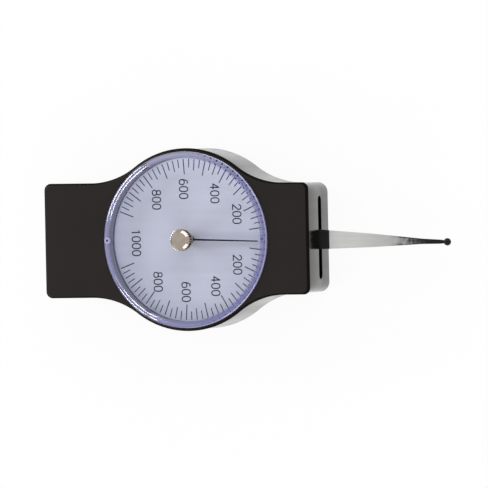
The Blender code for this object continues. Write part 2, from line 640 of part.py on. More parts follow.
def make_hand(name, colour, parent, bore, hub_heights):
    """A hub with a thin tapered hand and a short tail."""
    middle = (hub_heights[0] + hub_heights[1]) / 2
    bottom = middle - POINTER_THICKNESS / 2
    top = middle + POINTER_THICKNESS / 2
    root = POINTER_ROOT_WIDTH / 2
    tip = POINTER_TIP_WIDTH / 2
    points = [(-POINTER_TAIL, -root), (0, -root), (POINTER_LENGTH - tip, -tip), (POINTER_LENGTH, 0)]
    points += [(POINTER_LENGTH - tip, tip), (0, root), (-POINTER_TAIL, root)]
    hand = add(name, slab(points, bottom, top), colour, parent)
    hub = rod(bmesh.new(), HAND_HUB_RADIUS, hub_heights[0], hub_heights[1], SHAFT_SIDES)
    unite(hand, "add_hub_of_" + name, hub)
    hole = rod(bmesh.new(), bore, hub_heights[0] - OVERRUN, hub_heights[1] + OVERRUN, SHAFT_SIDES)
    cut(hand, "cut_hub_of_" + name, hole)


def involute(angle):
    return tan(angle) - angle


def tooth_side(pitch_radius, teeth):
    """Half angles of a tooth from root to tip, as (radius, angle)."""
    base = pitch_radius * cos(PRESSURE_ANGLE)
    root = pitch_radius - DEDENDUM_SHARE * GEAR_MODULE
    tip = pitch_radius + ADDENDUM_SHARE * GEAR_MODULE
    half = pi / (2 * teeth) * TOOTH_THICKNESS_SHARE

    def half_angle(radius):
        return half + involute(PRESSURE_ANGLE) - involute(acos(min(base / radius, 1)))

    start = max(root, base)
    radii = [start + (tip - start) * step / TOOTH_STEPS for step in range(TOOTH_STEPS + 1)]
    return [(radius, half_angle(radius)) for radius in (root, *radii)]


def teeth_points(pitch_radius, teeth, centres):
    points = []
    side = tooth_side(pitch_radius, teeth)
    for middle in centres:
        turns = [(radius, middle - half) for radius, half in side]
        turns += [(radius, middle + half) for radius, half in reversed(side)]
        points += [(radius * cos(turn), radius * sin(turn)) for radius, turn in turns]
    return points


def make_pinion(brass):
    """At rest a gap between two teeth faces the lever's axis, so they are turned back by the hand's angle."""
    step = 2 * pi / PINION_TEETH
    centres = [step * (k + 0.5) - HAND_REST_ANGLE for k in range(PINION_TEETH)]
    points = teeth_points(PINION_RADIUS, PINION_TEETH, centres)
    pinion = add("pinion", slab(points, PINION_BOTTOM, PINION_TOP), brass, "pointer_axis")
    bore = rod(bmesh.new(), ARBOR_RADIUS + PRESS_GAP, HUB_TOP - OVERRUN, PINION_TOP + OVERRUN, SHAFT_SIDES)
    cut(pinion, "cut_pinion_bore", bore)


def make_sector(brass):
    """The toothed sector points from the lever's axis back to the pinion. At rest its middle tooth is on the
    line between the two axes, so it is turned back by the lever's own rest angle."""
    step = 2 * pi / SECTOR_FULL_TEETH
    first = -(SECTOR_TEETH - 1) / 2
    centres = [pi + step * (first + k) for k in range(SECTOR_TEETH)]
    points = teeth_points(SECTOR_RADIUS, SECTOR_FULL_TEETH, centres)
    fan = step * (SECTOR_TEETH + 1) / 2
    rim = SECTOR_RADIUS - DEDENDUM_SHARE * GEAR_MODULE
    points.append((rim * cos(pi + fan), rim * sin(pi + fan)))
    hub_turn = SECTOR_HUB_FAN_SHARE * fan
    points += arc((0, 0), HUB_RADIUS, pi + hub_turn, 3 * pi - hub_turn, SHAFT_SIDES)
    points.append((rim * cos(pi - fan), rim * sin(pi - fan)))
    shape = slab(turned_points(points, -LEVER_REST_ANGLE), SECTOR_BOTTOM, SECTOR_TOP)
    sector = add("sector_gear", shape, brass, "lever_axis")

    holes = bmesh.new()
    low = SECTOR_BOTTOM - OVERRUN
    high = SECTOR_TOP + OVERRUN
    rod(holes, LEVER_SHAFT_RADIUS + PRESS_GAP, low, high, SHAFT_SIDES)
    for place in sector_screw_places():
        rod(holes, SECTOR_SCREW_RADIUS + SCREW_GAP, low, high, SMALL_SIDES, place)
    outer = rim - SECTOR_RIM_WIDTH
    inner = HUB_RADIUS + SECTOR_SPOKE_HALF_WIDTH
    far_turn = fan - SECTOR_SIDE_SPOKE_WIDTH / outer
    near_turn = asin(SECTOR_SPOKE_HALF_WIDTH / outer)
    for side in (-1, 1):
        rim_arc = arc((0, 0), outer, pi - side * near_turn, pi - side * far_turn, CORNER_POINTS)
        window = [(-inner, side * SECTOR_SPOKE_HALF_WIDTH), *rim_arc]
        window.append((-inner * cos(far_turn), side * inner * sin(far_turn)))
        points = turned_points(window, -LEVER_REST_ANGLE)
        stacked(holes, [(low, points), (high, points)])
    cut(sector, "cut_sector_holes", holes)


def sector_screw_places():
    return [(0, SECTOR_SCREW_CIRCLE), (0, -SECTOR_SCREW_CIRCLE)]


def make_lever(steel, blued):
    shaft = rod(bmesh.new(), LEVER_SHAFT_RADIUS, REAR_PLATE_BOTTOM, FRONT_PLATE_TOP, SHAFT_SIDES)
    add("lever_shaft", shaft, steel, "lever_axis")

    hub = rod(bmesh.new(), HUB_RADIUS, ARM_BOTTOM, HUB_TOP, SHAFT_SIDES)
    lever = add("lever_arm", hub, steel, "lever_axis")
    arm = box((HUB_RADIUS / 2, -ARM_HALF_WIDTH, ARM_BOTTOM), (ARM_LENGTH, ARM_HALF_WIDTH, ARM_TOP))
    unite(lever, "add_arm", arm)
    low = ARM_BOTTOM - OVERRUN
    high = HUB_TOP + OVERRUN
    holes = rods(BLADE_SCREW_RADIUS + SCREW_GAP, low, ARM_TOP + OVERRUN, blade_screw_places())
    for place in sector_screw_places():
        rod(holes, SECTOR_SCREW_RADIUS + SCREW_GAP, SLOT_HEIGHT, high, SMALL_SIDES, place)
    rod(holes, LEVER_SHAFT_RADIUS + PRESS_GAP, low, high, SHAFT_SIDES)
    cut(lever, "cut_lever_holes", holes)

    seat = BLADE_TOP + SEAT_GAP
    sizes = (BLADE_SCREW_RADIUS, BLADE_SCREW_HEAD_RADIUS, BLADE_SCREW_HEAD_HEIGHT)
    repeat("blade_screw", screw(seat, ARM_BOTTOM, *sizes), blade_screw_places(), blued, "lever_axis")

    seat = SECTOR_TOP + SEAT_GAP
    tip = SLOT_HEIGHT + SEAT_GAP
    sizes = (SECTOR_SCREW_RADIUS, SECTOR_SCREW_HEAD_RADIUS, SECTOR_SCREW_HEAD_HEIGHT)
    repeat("sector_screw", screw(seat, tip, *sizes), sector_screw_places(), blued, "lever_axis")

    bore = LEVER_SHAFT_RADIUS + PRESS_GAP
    collet = tube(bmesh.new(), bore, SPRING_COLLET_RADIUS, SPRING_BOTTOM, SPRING_TOP)
    add("spring_collet", collet, steel, "lever_axis")


def blade_screw_places():
    return [(reach, 0) for reach in BLADE_SCREW_PLACES]


def blade_half_width(share):
    """Half the feeler's width at a share of its length from root to neck."""
    return BLADE_ROOT_HALF_WIDTH * float(interp(share, BLADE_PLACE_SHARES, BLADE_WIDTH_SHARES))


def make_blade(steel):
    """A flat feeler that narrows to a round neck and ends in a ball."""
    stations = []
    for share in BLADE_STATION_SHARES:
        half = blade_half_width(share)
        thin = min((BLADE_TOP - BLADE_BOTTOM) / 2, half)
        bluntness = FLAT_BLUNTNESS if share < NECK_START_SHARE else NECK_BLUNTNESS
        stations.append((BLADE_START + BLADE_LENGTH * share, half, thin, bluntness))
    neck = acos(NECK_RADIUS / BALL_RADIUS) + pi / 2
    for k in range(BALL_STEPS + 1):
        turn = neck * (1 - BALL_CLOSED_SHARE * k / BALL_STEPS)
        radius = BALL_RADIUS * sin(turn)
        stations.append((BALL_REACH + BALL_RADIUS * cos(turn), radius, radius, 1))
    shape = bmesh.new()
    loops = []
    for along, half, thin, bluntness in stations:
        loop = []
        for k in range(BLADE_SIDES):
            turn = 2 * pi * (k + 0.5) / BLADE_SIDES
            across = half * copysign(abs(cos(turn)) ** bluntness, cos(turn))
            up = thin * copysign(abs(sin(turn)) ** bluntness, sin(turn))
            loop.append(shape.verts.new((along, across, SLOT_HEIGHT + up)))
        loops.append(loop)
    for near, far in zip(loops, loops[1:]):
        for k in range(BLADE_SIDES):
            n = (k + 1) % BLADE_SIDES
            shape.faces.new((near[k], near[n], far[n], far[k]))
    shape.faces.new(loops[0][::-1])
    shape.faces.new(loops[-1])
    blade = add("feeler_blade", shape, steel, "lever_axis")
    shank = BLADE_SCREW_RADIUS + SCREW_GAP
    holes = rods(shank, BLADE_BOTTOM - OVERRUN, BLADE_TOP + OVERRUN, blade_screw_places())
    cut(blade, "cut_blade_holes", holes)


def make_pointer(steel, brass, black):
    arbor = rod(bmesh.new(), ARBOR_RADIUS, REAR_PLATE_BOTTOM, POINTER_HUB_TOP, SHAFT_SIDES)
    add("pointer_arbor", arbor, steel, "pointer_axis")
    half = BODY_DEPTH * HAIRSPRING_COLLET_DEPTH_SHARE / 2
    bore = ARBOR_RADIUS + PRESS_GAP
    heights = (HAIRSPRING_MIDDLE - half, HAIRSPRING_MIDDLE + half)
    collet = tube(bmesh.new(), bore, HAIRSPRING_COLLET_RADIUS, *heights)
    add("hairspring_collet", collet, brass, "pointer_axis")
    make_hand("pointer", black, "pointer_axis", bore, (POINTER_HUB_BOTTOM, POINTER_HUB_TOP))


def spiral(inner, outer, thickness, bottom, top):
    """A flat strip wound outwards from the inner to the outer radius, which ends on the -X side."""
    count = SPRING_STEPS * SPRING_TURNS
    shape = bmesh.new()
    loops = []
    for k in range(count + 1):
        share = k / count
        radius = inner + (outer - inner) * share
        turn = pi - 2 * pi * SPRING_TURNS * (1 - share)
        corners = [(radius - thickness / 2, bottom), (radius + thickness / 2, bottom)]
        corners += [(radius + thickness / 2, top), (radius - thickness / 2, top)]
        loops.append([shape.verts.new((r * cos(turn), r * sin(turn), z)) for r, z in corners])
    for near, far in zip(loops, loops[1:]):
        for k in range(4):
            n = (k + 1) % 4
            shape.faces.new((near[k], near[n], far[n], far[k]))
    shape.faces.new(loops[0][::-1])
    shape.faces.new(loops[-1])
    return shape


def make_springs(spring_steel, brass):
    """Two spirals. Each outer end is held by a stud on its plate, and each inner end lies against a round
    collet, so that the collet can turn without passing through it."""
    inner = SPRING_COLLET_RADIUS + SEAT_GAP + SPRING_THICKNESS / 2
    strip = spiral(inner, SPRING_OUTER_RADIUS, SPRING_THICKNESS, SPRING_BOTTOM, SPRING_TOP)
    spring = add("main_spring", strip, spring_steel)
    spring.location = (LEVER_X, 0, 0)
    side = LEVER_X - SPRING_OUTER_RADIUS - SPRING_THICKNESS / 2 - SEAT_GAP
    stud = stud_block(side, SPRING_STUD_WIDTH, REAR_PLATE_TOP + SEAT_GAP, SPRING_TOP)
    add("spring_stud", stud, brass)

    inner = HAIRSPRING_COLLET_RADIUS + SEAT_GAP + HAIRSPRING_THICKNESS / 2
    heights = (HAIRSPRING_BOTTOM, HAIRSPRING_TOP)
    strip = spiral(inner, HAIRSPRING_OUTER_RADIUS, HAIRSPRING_THICKNESS, *heights)
    add("hairspring", strip, spring_steel)
    side = -HAIRSPRING_OUTER_RADIUS - HAIRSPRING_THICKNESS / 2 - SEAT_GAP
    stud = stud_block(side, HAIRSPRING_STUD_WIDTH, HAIRSPRING_BOTTOM, FRONT_PLATE_BOTTOM - SEAT_GAP)
    add("hairspring_stud", stud, brass)


def stud_block(side, width, bottom, top):
    """A square block on the -X side of a spring's outer end."""
    return box((side - width, -width / 2, bottom), (side, width / 2, top))


def make_plates(brass, steel):
    mounts = mount_screw_places()
    plates = (
        ("front_plate", FRONT_PLATE_ENDS, FRONT_PLATE_BOTTOM, FRONT_PLATE_TOP, mounts),
        ("rear_plate", REAR_PLATE_ENDS, REAR_PLATE_BOTTOM, REAR_PLATE_TOP, []),
    )
    for name, ends, bottom, top, screw_places in plates:
        shape = box((ends[0], -PLATE_HALF_HEIGHT, bottom), (ends[1], PLATE_HALF_HEIGHT, top))
        plate = add(name, shape, brass)
        low = bottom - OVERRUN
        high = top + OVERRUN
        holes = rods(PILLAR_SCREW_RADIUS + SCREW_GAP, low, high, pillar_places())
        for place in screw_places:
            rod(holes, MOUNT_SCREW_RADIUS + SCREW_GAP, low, high, SMALL_SIDES, place)
        rod(holes, ARBOR_BUSH_RADIUS + SEAT_GAP, low, high, SHAFT_SIDES)
        rod(holes, LEVER_BUSH_RADIUS + SEAT_GAP, low, high, SHAFT_SIDES, (LEVER_X, 0))
        cut(plate, "cut_holes_of_" + name, holes)

    bearings = (
        ("arbor_bush", ARBOR_RADIUS, ARBOR_BUSH_RADIUS, 0),
        ("lever_bush", LEVER_SHAFT_RADIUS, LEVER_BUSH_RADIUS, LEVER_X),
    )
    layers = (("rear", REAR_PLATE_BOTTOM, REAR_PLATE_TOP), ("front", FRONT_PLATE_BOTTOM, FRONT_PLATE_TOP))
    for name, shaft, radius, along in bearings:
        for side, bottom, top in layers:
            shape = tube(bmesh.new(), shaft + RUNNING_GAP, radius, bottom, top, SHAFT_SIDES, (along, 0))
            add(f"{name}_{side}", shape, steel)


def make_pillars(steel, blued):
    bottom = REAR_PLATE_TOP + SEAT_GAP
    top = FRONT_PLATE_BOTTOM - SEAT_GAP
    places = pillar_places()
    shape = tube(bmesh.new(), PILLAR_SCREW_RADIUS + SCREW_GAP, PILLAR_RADIUS, bottom, top, SMALL_SIDES)
    repeat("pillar", shape, places, steel)
    rear_seat = REAR_PLATE_BOTTOM - SEAT_GAP
    front_seat = FRONT_PLATE_TOP + SEAT_GAP
    for side, seat, tip in (
        ("rear", rear_seat, rear_seat + PILLAR_SCREW_LENGTH),
        ("front", front_seat, front_seat - PILLAR_SCREW_LENGTH),
    ):
        sizes = (PILLAR_SCREW_RADIUS, PILLAR_SCREW_HEAD_RADIUS, PILLAR_SCREW_HEAD_HEIGHT)
        repeat(f"pillar_screw_{side}", screw(seat, tip, *sizes), places, blued)

    seat = FRONT_PLATE_BOTTOM - SEAT_GAP
    tip = seat + MOUNT_SCREW_LENGTH
    sizes = (MOUNT_SCREW_RADIUS, MOUNT_SCREW_HEAD_RADIUS, MOUNT_SCREW_HEAD_HEIGHT)
    repeat("mount_screw", screw(seat, tip, *sizes), mount_screw_places(), blued)


def make_stop_pins(steel):
    """Two pins under the front plate, where the arm's sides stop at the ends of its swing."""
    room = ARM_HALF_WIDTH + STOP_PIN_RADIUS + STOP_GAP
    across = (room + STOP_PIN_REACH * sin(LEVER_SWING)) / cos(LEVER_SWING)
    places = []
    for side in (-1, 1):
        x, y = turned_points([(STOP_PIN_REACH, side * across)], LEVER_REST_ANGLE)[0]
        places.append((LEVER_X + x, y))
    pin = rod(bmesh.new(), STOP_PIN_RADIUS, ARM_BOTTOM, FRONT_PLATE_BOTTOM - SEAT_GAP)
    repeat("stop_pin", pin, places, steel)


def main():
    clear_scene()
    metal = material("case_metal", (0.62, 0.62, 0.63), 0.15, 1.0)
    black_plastic = material("black_plastic", (0.025, 0.022, 0.021), 0.35, 0.0)
    clear = material("clear_plastic", (0.72, 0.74, 0.95), 0.05, 0.0, 0.35)
    white = material("dial_white", (0.85, 0.86, 0.90), 0.5, 0.0)
    black = material("black_paint", (0.015, 0.015, 0.018), 0.4, 0.0)
    nickel = material("nickel", (0.66, 0.60, 0.54), 0.3, 1.0)
    steel = material("steel", (0.60, 0.60, 0.61), 0.25, 1.0)
    blued = material("screw_steel", (0.35, 0.36, 0.38), 0.35, 1.0)
    brass = material("brass", (0.75, 0.60, 0.32), 0.3, 1.0)
    spring_steel = material("spring_steel", (0.30, 0.32, 0.38), 0.3, 1.0)

    make_parent("pointer_axis", (0, 0, 0), HAND_REST_ANGLE)
    make_parent("peak_axis", (0, 0, 0), HAND_REST_ANGLE)
    make_parent("lever_axis", (LEVER_X, 0, 0), LEVER_REST_ANGLE)

    make_case_body(metal)
    make_front_cover(black_plastic)
    make_rear_cover(black_plastic)
    make_case_screws(blued)
    make_dial(white)
    make_crystal(clear)
    make_crystal_bush(brass)
    make_reset_knob(nickel, steel, black)
    make_pointer(steel, brass, black)
    make_pinion(brass)
    make_sector(brass)
    make_lever(steel, blued)
    make_blade(steel)
    make_springs(spring_steel, brass)
    make_plates(brass, steel)
    make_pillars(steel, blued)
    make_stop_pins(steel)


main()
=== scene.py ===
"""Looks of the dial tension gauge: finer outer pieces, materials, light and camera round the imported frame.

Metres, in the CAD's frame: +Z out of the dial, +X along the feeler, origin under the dial's centre on the
back face. The main sizes are the CAD's own. Small ones that show, such as the knob's knurls, the cover's
rounded edge and the feeler's neck, are nearer to the photograph here. Colours are linear.
"""

import json
from math import acos, atan2, copysign, cos, pi, radians, sin

import bmesh
import bpy
import numpy as np
from mathutils import Matrix, Vector


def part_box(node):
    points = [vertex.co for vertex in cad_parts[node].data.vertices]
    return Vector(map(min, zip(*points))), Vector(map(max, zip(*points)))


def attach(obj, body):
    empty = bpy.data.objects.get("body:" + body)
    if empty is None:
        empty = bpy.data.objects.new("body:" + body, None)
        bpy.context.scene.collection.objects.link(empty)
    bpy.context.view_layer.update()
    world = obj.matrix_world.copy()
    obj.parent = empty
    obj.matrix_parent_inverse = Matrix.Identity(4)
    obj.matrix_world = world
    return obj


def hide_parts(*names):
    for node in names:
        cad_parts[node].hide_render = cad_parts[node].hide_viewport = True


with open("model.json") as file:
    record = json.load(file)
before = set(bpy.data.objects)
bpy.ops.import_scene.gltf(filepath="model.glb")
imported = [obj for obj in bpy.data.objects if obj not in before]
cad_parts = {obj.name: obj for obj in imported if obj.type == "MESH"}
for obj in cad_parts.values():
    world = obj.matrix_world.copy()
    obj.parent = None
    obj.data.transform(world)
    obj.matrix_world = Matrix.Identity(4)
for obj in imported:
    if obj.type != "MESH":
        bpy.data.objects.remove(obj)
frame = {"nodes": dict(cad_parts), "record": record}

# Clearances
SEAT_GAP = 0.0003
OVERRUN = 0.001
INK_GAP = 0.00001

# Outline of the front cover
BODY_DEPTH = 0.021
DISC_RADIUS = 0.0329
NOSE_END = 0.0476
HANDLE_END = 0.0552
NOSE_HALF_HEIGHT = 0.0202
HANDLE_HALF_HEIGHT = 0.0206
NOSE_SHOULDER_SHARE = 0.792
HANDLE_SHOULDER_SHARE = 0.6735
COVER_CORNER = 0.0024
COVER_EDGE_ROUNDING = 0.001
COVER_LIP_CHAMFER = 0.0002

# Case
CASE_INSET = 0.0005
CASE_CORNER = 0.0036
CASE_BACK_ROUNDING = 0.0006
CASE_WALL = 0.0026
RIM_WALL = 0.0016
INNER_CORNER = 0.001
SEAT_WIDTH = 0.0019
SLOT_LENGTH = 0.03
SLOT_WIDTH = 0.003
SLOT_CHAMFER = 0.00008
REAR_EDGE_ROUNDING = 0.0003

# Case screws
POST_RADIUS = 0.0023
POST_FROM_NOSE_END = 0.0061
POST_FROM_HANDLE_END = 0.0053
POST_FROM_SIDE = 0.005
SCREW_HOLE_RADIUS = 0.00105
COUNTERBORE_RADIUS = 0.00195
COUNTERBORE_DEPTH = 0.00105
BOSS_HOLE_RADIUS = 0.0022
BOSS_HOLE_DEPTH = 0.0024
BOSS_RADIUS = 0.0019
BOSS_LENGTH = 0.0021
BOSS_FLOOR = 0.0008

# Crystal
CRYSTAL_RADIUS = 0.03175
CRYSTAL_SKIRT = 0.0009
CRYSTAL_RIM_STEP = 0.0003
CRYSTAL_FILLET = 0.0012
CRYSTAL_BORE = 0.0027
PIP_PLACE = -0.0302
PIP_RADIUS = 0.0012
PIP_RISE = 0.0003
PIP_DIMPLE_RADIUS = 0.00045
FAR_PIP_PLACE = 0.0301
FAR_PIP_RADIUS = 0.0006

# Section of the crystal's rim, from its edge inward: how far in, and how far below the top
CRYSTAL_RIM_PROFILE = (
    (0, 0.00055), (0.0001, 0.0004), (0.0002, 0.00032), (0.00055, 0.0003), (0.0006, 0.00018),
    (0.00092, 0.00003), (0.00102, 0), (0.00145, 0), (0.00155, 0.00008), (0.0016, 0.00015),
    (0.0019, 0.00001), (0.002, 0), (0.00215, 0.0003),
)

# Reset knob
KNOB_TOP = 0.0269
KNOB_BOTTOM = 0.0238
KNOB_RADIUS = 0.00395
KNOB_CHAMFER = 0.0006
KNOB_CHAMFER_WIDTH = 0.0008
KNOB_BOTTOM_CHAMFER = 0.0003
KNOB_NECK_RADIUS = 0.0022
KNOB_NECK_BOTTOM = 0.0228
KNURL_COUNT = 28
KNURL_DEPTH = 0.00035
KNURL_SHOULDER = 0.0001
KNURL_SHARES = (0.0, 0.6, 1.0, 0.6)
HAND_REST_ANGLE = radians(-1.8)

# Feeler
LEVER_X = 0.0216
LEVER_REST_ANGLE = radians(-1.6)
BLADE_START = 0.0052
BLADE_LENGTH = 0.0687
BLADE_ROOT_HALF_WIDTH = 0.0037
BLADE_HALF_THICKNESS = 0.0006
BLADE_PLACE_SHARES = (0, 0.25, 0.33, 0.60, 0.79, 0.875, 0.98, 1)
BLADE_WIDTH_SHARES = (1, 1, 0.925, 0.65, 0.385, 0.26, 0.205, 0.165)
NECK_START_SHARE = 0.86
FLAT_BLUNTNESS = 0.16
NECK_RADIUS = 0.0006
BALL_RADIUS = 0.00135
BALL_REACH = 0.0752
BLADE_SCREW_PLACES = (0.0072, 0.0115)
BLADE_HOLE_RADIUS = 0.00095

# Dial and its print
DIAL_HOLE_RADIUS = 0.0016
TICK_OUTER_RADIUS = 0.0289
TICK_INNER_RADII = {100: 0.0236, 50: 0.02502, 25: 0.02602}
TICK_WIDTHS = {100: 0.00034, 50: 0.00031, 25: 0.00031}
SCALE_FIRST = 100
SCALE_LAST = 1000
SCALE_STEP = 25
SCALE_CUBIC = (-1.4948e-8, 1.5777e-5, 0.16726, -8.728)
NUMERALS = (
    ("200", 0.01855, 0.00895),
    ("400", 0.01007, 0.01648),
    ("600", -0.00209, 0.01812),
    ("800", -0.01273, 0.01441),
    ("1000", -0.02097, -0.00098),
    ("800", -0.01276, -0.01513),
    ("600", -0.00189, -0.01892),
    ("400", 0.00972, -0.01687),
    ("200", 0.01842, -0.00929),
)
DIGIT_WIDTH = 0.0018
DIGIT_HEIGHT = 0.0032
DIGIT_PITCH = 0.0025
STROKE_WIDTH = 0.0004
STROKE_END_STEPS = ((0.7, 0.7), (1.0, 0.2))
OVAL_BLUNTNESS = 0.82
INK_THICKNESS = 0.00002

# Counts of sides and steps
RING_SIDES = 180
LENS_SIDES = 360
SHAFT_SIDES = 48
CORNER_POINTS = 12
FILLET_POINTS = 28
DISC_POINTS = 60
ROUNDING_STEPS = 6
BLADE_SIDES = 28
BLADE_STATIONS = 44
BALL_STEPS = 18
OVAL_POINTS = 28
BOW_POINTS = 14
STEM_POINTS = 12

# Angles in degrees past which an edge stays sharp
SHARP_ANGLE = 35
LENS_SHARP_ANGLE = 12
KNOB_SHARP_ANGLE = 25

# Where the painted shade on the case's end changes, as heights
END_SHADE_UNDER_COVER = (0.0100, 0.0180)
END_SHADE_OVER_BACK = (0.0060, 0.0085)

# Where the crystal's colour changes: radii, places along X and Y, and turns from +X in radians.
# Many of them place painted light: the rim's paler top, painted reflections of the dial's ticks, painted
# shade at the ends of the white arcs and on the line between them, and a grey band of painted shade on the
# left.
RIM_START_RADII = (0.02925, 0.02945)
RIM_COLOUR_RADII = (0.0292, 0.0317)
RIM_SIDES_MEET = (-0.014, 0.016)
RIM_SIDES_LEAN = -0.25
RIM_TOP = (0.022, 0.0305)
RIM_TOP_PAINTED_LIGHT = 0.22
TICK_REFLECTION_RADII = (0.0297, 0.0312)
TICK_REFLECTION_LENGTH = 0.0007
TICK_REFLECTION_PITCH = radians(4.5)
TICK_REFLECTION_HALF_SHARE = 0.13
TICK_REFLECTIONS_ALONG = (0.002, 0.012)
TICK_REFLECTIONS_UP = (0.004, 0.022)
ARC_END_SHADE_TURN = 2.094
ARC_END_SHADE_REACH = 0.04
ARC_END_SHADE_RINGS = ((0.0297, 0.00025), (0.0312, 0.0002))
ARC_SHADE_LINE_RADIUS = 0.0306
ARC_SHADE_LINE_REACH = 0.00018
ARC_SHADE_LINE_FAR_END = (2.72, 2.55)
ARC_SHADE_LINE_NEAR_END = (2.0, 2.1)
SHADE_BAND_CENTRE = 0.0015
SHADE_BAND_START = (0.0297, 0.0299)
SHADE_BAND_END_RADIUS = 0.0297

# The dial's edge painted paler, as painted light against the crystal rim's shade: radii where it grows, its
# growth along X and Y for each metre, and its strength
DIAL_EDGE_RADII = (0.0195, 0.0285)
DIAL_EDGE_ALONG = -22.6
DIAL_EDGE_UP = 26.9
DIAL_EDGE_GAIN = 0.36

# Where the knob's grooves get painted shade, as radii
GROOVE_SHADE_RADII = (0.00374, 0.00388)

# Where the feeler's tone changes along X and off its middle line, how far it strays, and the line's slope
FEELER_ROOT_END = (0.0508, 0.0510)
FEELER_TONES = (0.05, 0.1)
FEELER_BLOTCHES = (0.0735, 0.0785)
FEELER_BLOTCH_SIZE = 0.002
FEELER_STREAK_SIZE = 0.0022
FEELER_EDGE = (0.0009, 0.0016)
FEELER_EDGE_SHIFT = (-0.0006, 0.0035)
FEELER_SLOPE = 0.0279

# Camera, fitted to the photograph, which shows no perspective
IMAGE_CENTRE = (0.02275, -0.00177, 0.021)
CAMERA_DISTANCE = 0.6
CAMERA_DIRECTION = (0.3921, 0.0228, 0.9196)
CAMERA_UP = (0.01, 0.9995, -0.029)
CAMERA_WIDTH = 0.17554

# Light: a lamp's name, direction round and above the gauge and roll in degrees, width, height and brightness
LAMP_DISTANCE = 0.9
LAMPS = (
    ("lamp_upper_left", 157, 23, -20, 0.48, 0.14, 12.0),
    ("lamp_lower_left", 214, 25, 22, 0.34, 0.12, 11.0),
    ("lamp_upper_right", 70, 30.5, -16, 1.0, 0.25, 2.7),
    ("lamp_lower_right", 293, 29.5, 17, 0.6, 0.25, 2.8),
)
AMBIENT = 0.7
FLOOR_SIZE = 6.0
FLOOR_SHOWN_SHARE = 0.92
FLOOR_DROP = 0.00002


# Points and solids


def arc(centre, radius, start, end, count):
    """Points on a circle from one turn to another."""
    step = (end - start) / (count - 1)
    return [
        (centre[0] + radius * cos(start + step * k), centre[1] + radius * sin(start + step * k))
        for k in range(count)
    ]


def blunted(value, bluntness):
    """A sine or cosine bent so that an oval made with it gets fuller corners."""
    return copysign(abs(value) ** bluntness, value)


def oval(centre, half_width, half_height):
    """A closed loop of points round an oval."""
    points = []
    for k in range(OVAL_POINTS):
        turn = 2 * pi * k / OVAL_POINTS
        x = half_width * blunted(cos(turn), OVAL_BLUNTNESS)
        y = half_height * blunted(sin(turn), OVAL_BLUNTNESS)
        points.append((centre[0] + x, centre[1] + y))
    return points


def rounding(size, steps=ROUNDING_STEPS):
    """Steps round a quarter of a circle: how far in, and how far below the top."""
    turns = [pi / 2 * k / steps for k in range(steps + 1)]
    return [(size * (1 - cos(turn)), size * (1 - sin(turn))) for turn in turns]


def stacked(shape, levels):
    """Adds a solid from closed loops of equally many points, each at its own height."""
    loops = [[shape.verts.new((x, y, height)) for x, y in points] for height, points in levels]
    count = len(loops[0])
    for low, high in zip(loops, loops[1:]):
        for k in range(count):
            n = (k + 1) % count
            shape.faces.new((low[k], low[n], high[n], high[k]))
    shape.faces.new(loops[0][::-1])
    shape.faces.new(loops[-1])
    return shape


def turned(shape, profile, sides, centre=(0.0, 0.0)):
    """Adds a turned solid or ring from a closed profile of (radius, height)."""
    rings = []
    for radius, height in profile:
        if radius == 0:
            rings.append([shape.verts.new((centre[0], centre[1], height))])
            continue
        points = arc(centre, radius, 0, 2 * pi * (sides - 1) / sides, sides)
        rings.append([shape.verts.new((x, y, height)) for x, y in points])
    pairs = list(zip(rings, rings[1:]))
    if len(rings[0]) > 1:
        pairs.append((rings[-1], rings[0]))
    for low, high in pairs:
        for k in range(sides):
            n = (k + 1) % sides
            corners = [low[k % len(low)], low[n % len(low)], high[n % len(high)], high[k % len(high)]]
            shape.faces.new(list(dict.fromkeys(corners)))
    return shape


def rod(shape, radius, bottom, top, sides=SHAFT_SIDES, centre=(0.0, 0.0)):
    """Adds an upright round rod."""
    return turned(shape, [(0, bottom), (radius, bottom), (radius, top), (0, top)], sides, centre)


def lofted(shape, loops, closed=False):
    """Adds a solid through loops of 3-D points, with flat ends unless it is closed on itself."""
    rings = [[shape.verts.new(point) for point in loop] for loop in loops]
    count = len(rings[0])
    pairs = list(zip(rings, rings[1:]))
    if closed:
        pairs.append((rings[-1], rings[0]))
    for near, far in pairs:
        for k in range(count):
            n = (k + 1) % count
            shape.faces.new((near[k], near[n], far[n], far[k]))
    if not closed:
        shape.faces.new(rings[0][::-1])
        shape.faces.new(rings[-1])
    return shape


def ribbon(shape, points, width, bottom, top, closed=False):
    """Adds a flat stroke along the points, with rounded ends."""
    stations = []
    count = len(points)
    for k, point in enumerate(points):
        before = points[k - 1] if k or closed else point
        after = points[(k + 1) % count] if k + 1 < count or closed else point
        along = Vector((after[0] - before[0], after[1] - before[1])).normalized()
        stations.append((Vector(point), along, width / 2))
    if not closed:
        first, last = stations[0], stations[-1]
        for reach, half in STROKE_END_STEPS:
            stations.insert(0, (first[0] - first[1] * width / 2 * reach, first[1], width / 2 * half))
            stations.append((last[0] + last[1] * width / 2 * reach, last[1], width / 2 * half))
    loops = []
    for point, along, half in stations:
        side = Vector((-along.y, along.x)) * half
        left, right = point + side, point - side
        loops.append([(*left, bottom), (*right, bottom), (*right, top), (*left, top)])
    return lofted(shape, loops, closed)


def quarter(half_height, end, shoulder_share, inset, corner):
    """The outline from the middle of one end to where its fillet meets the disc, for +X and +Y."""
    middle_x = end * shoulder_share
    fillet = (middle_x**2 + half_height**2 - DISC_RADIUS**2) / (2 * (DISC_RADIUS - half_height))
    middle_y = half_height + fillet
    meeting = atan2(middle_y, middle_x)
    corner_place = (end - inset - corner, half_height - inset - corner)
    points = arc(corner_place, corner, 0, pi / 2, CORNER_POINTS)
    points += arc((middle_x, middle_y), fillet + inset, -pi / 2, meeting - pi, FILLET_POINTS)
    return points, meeting


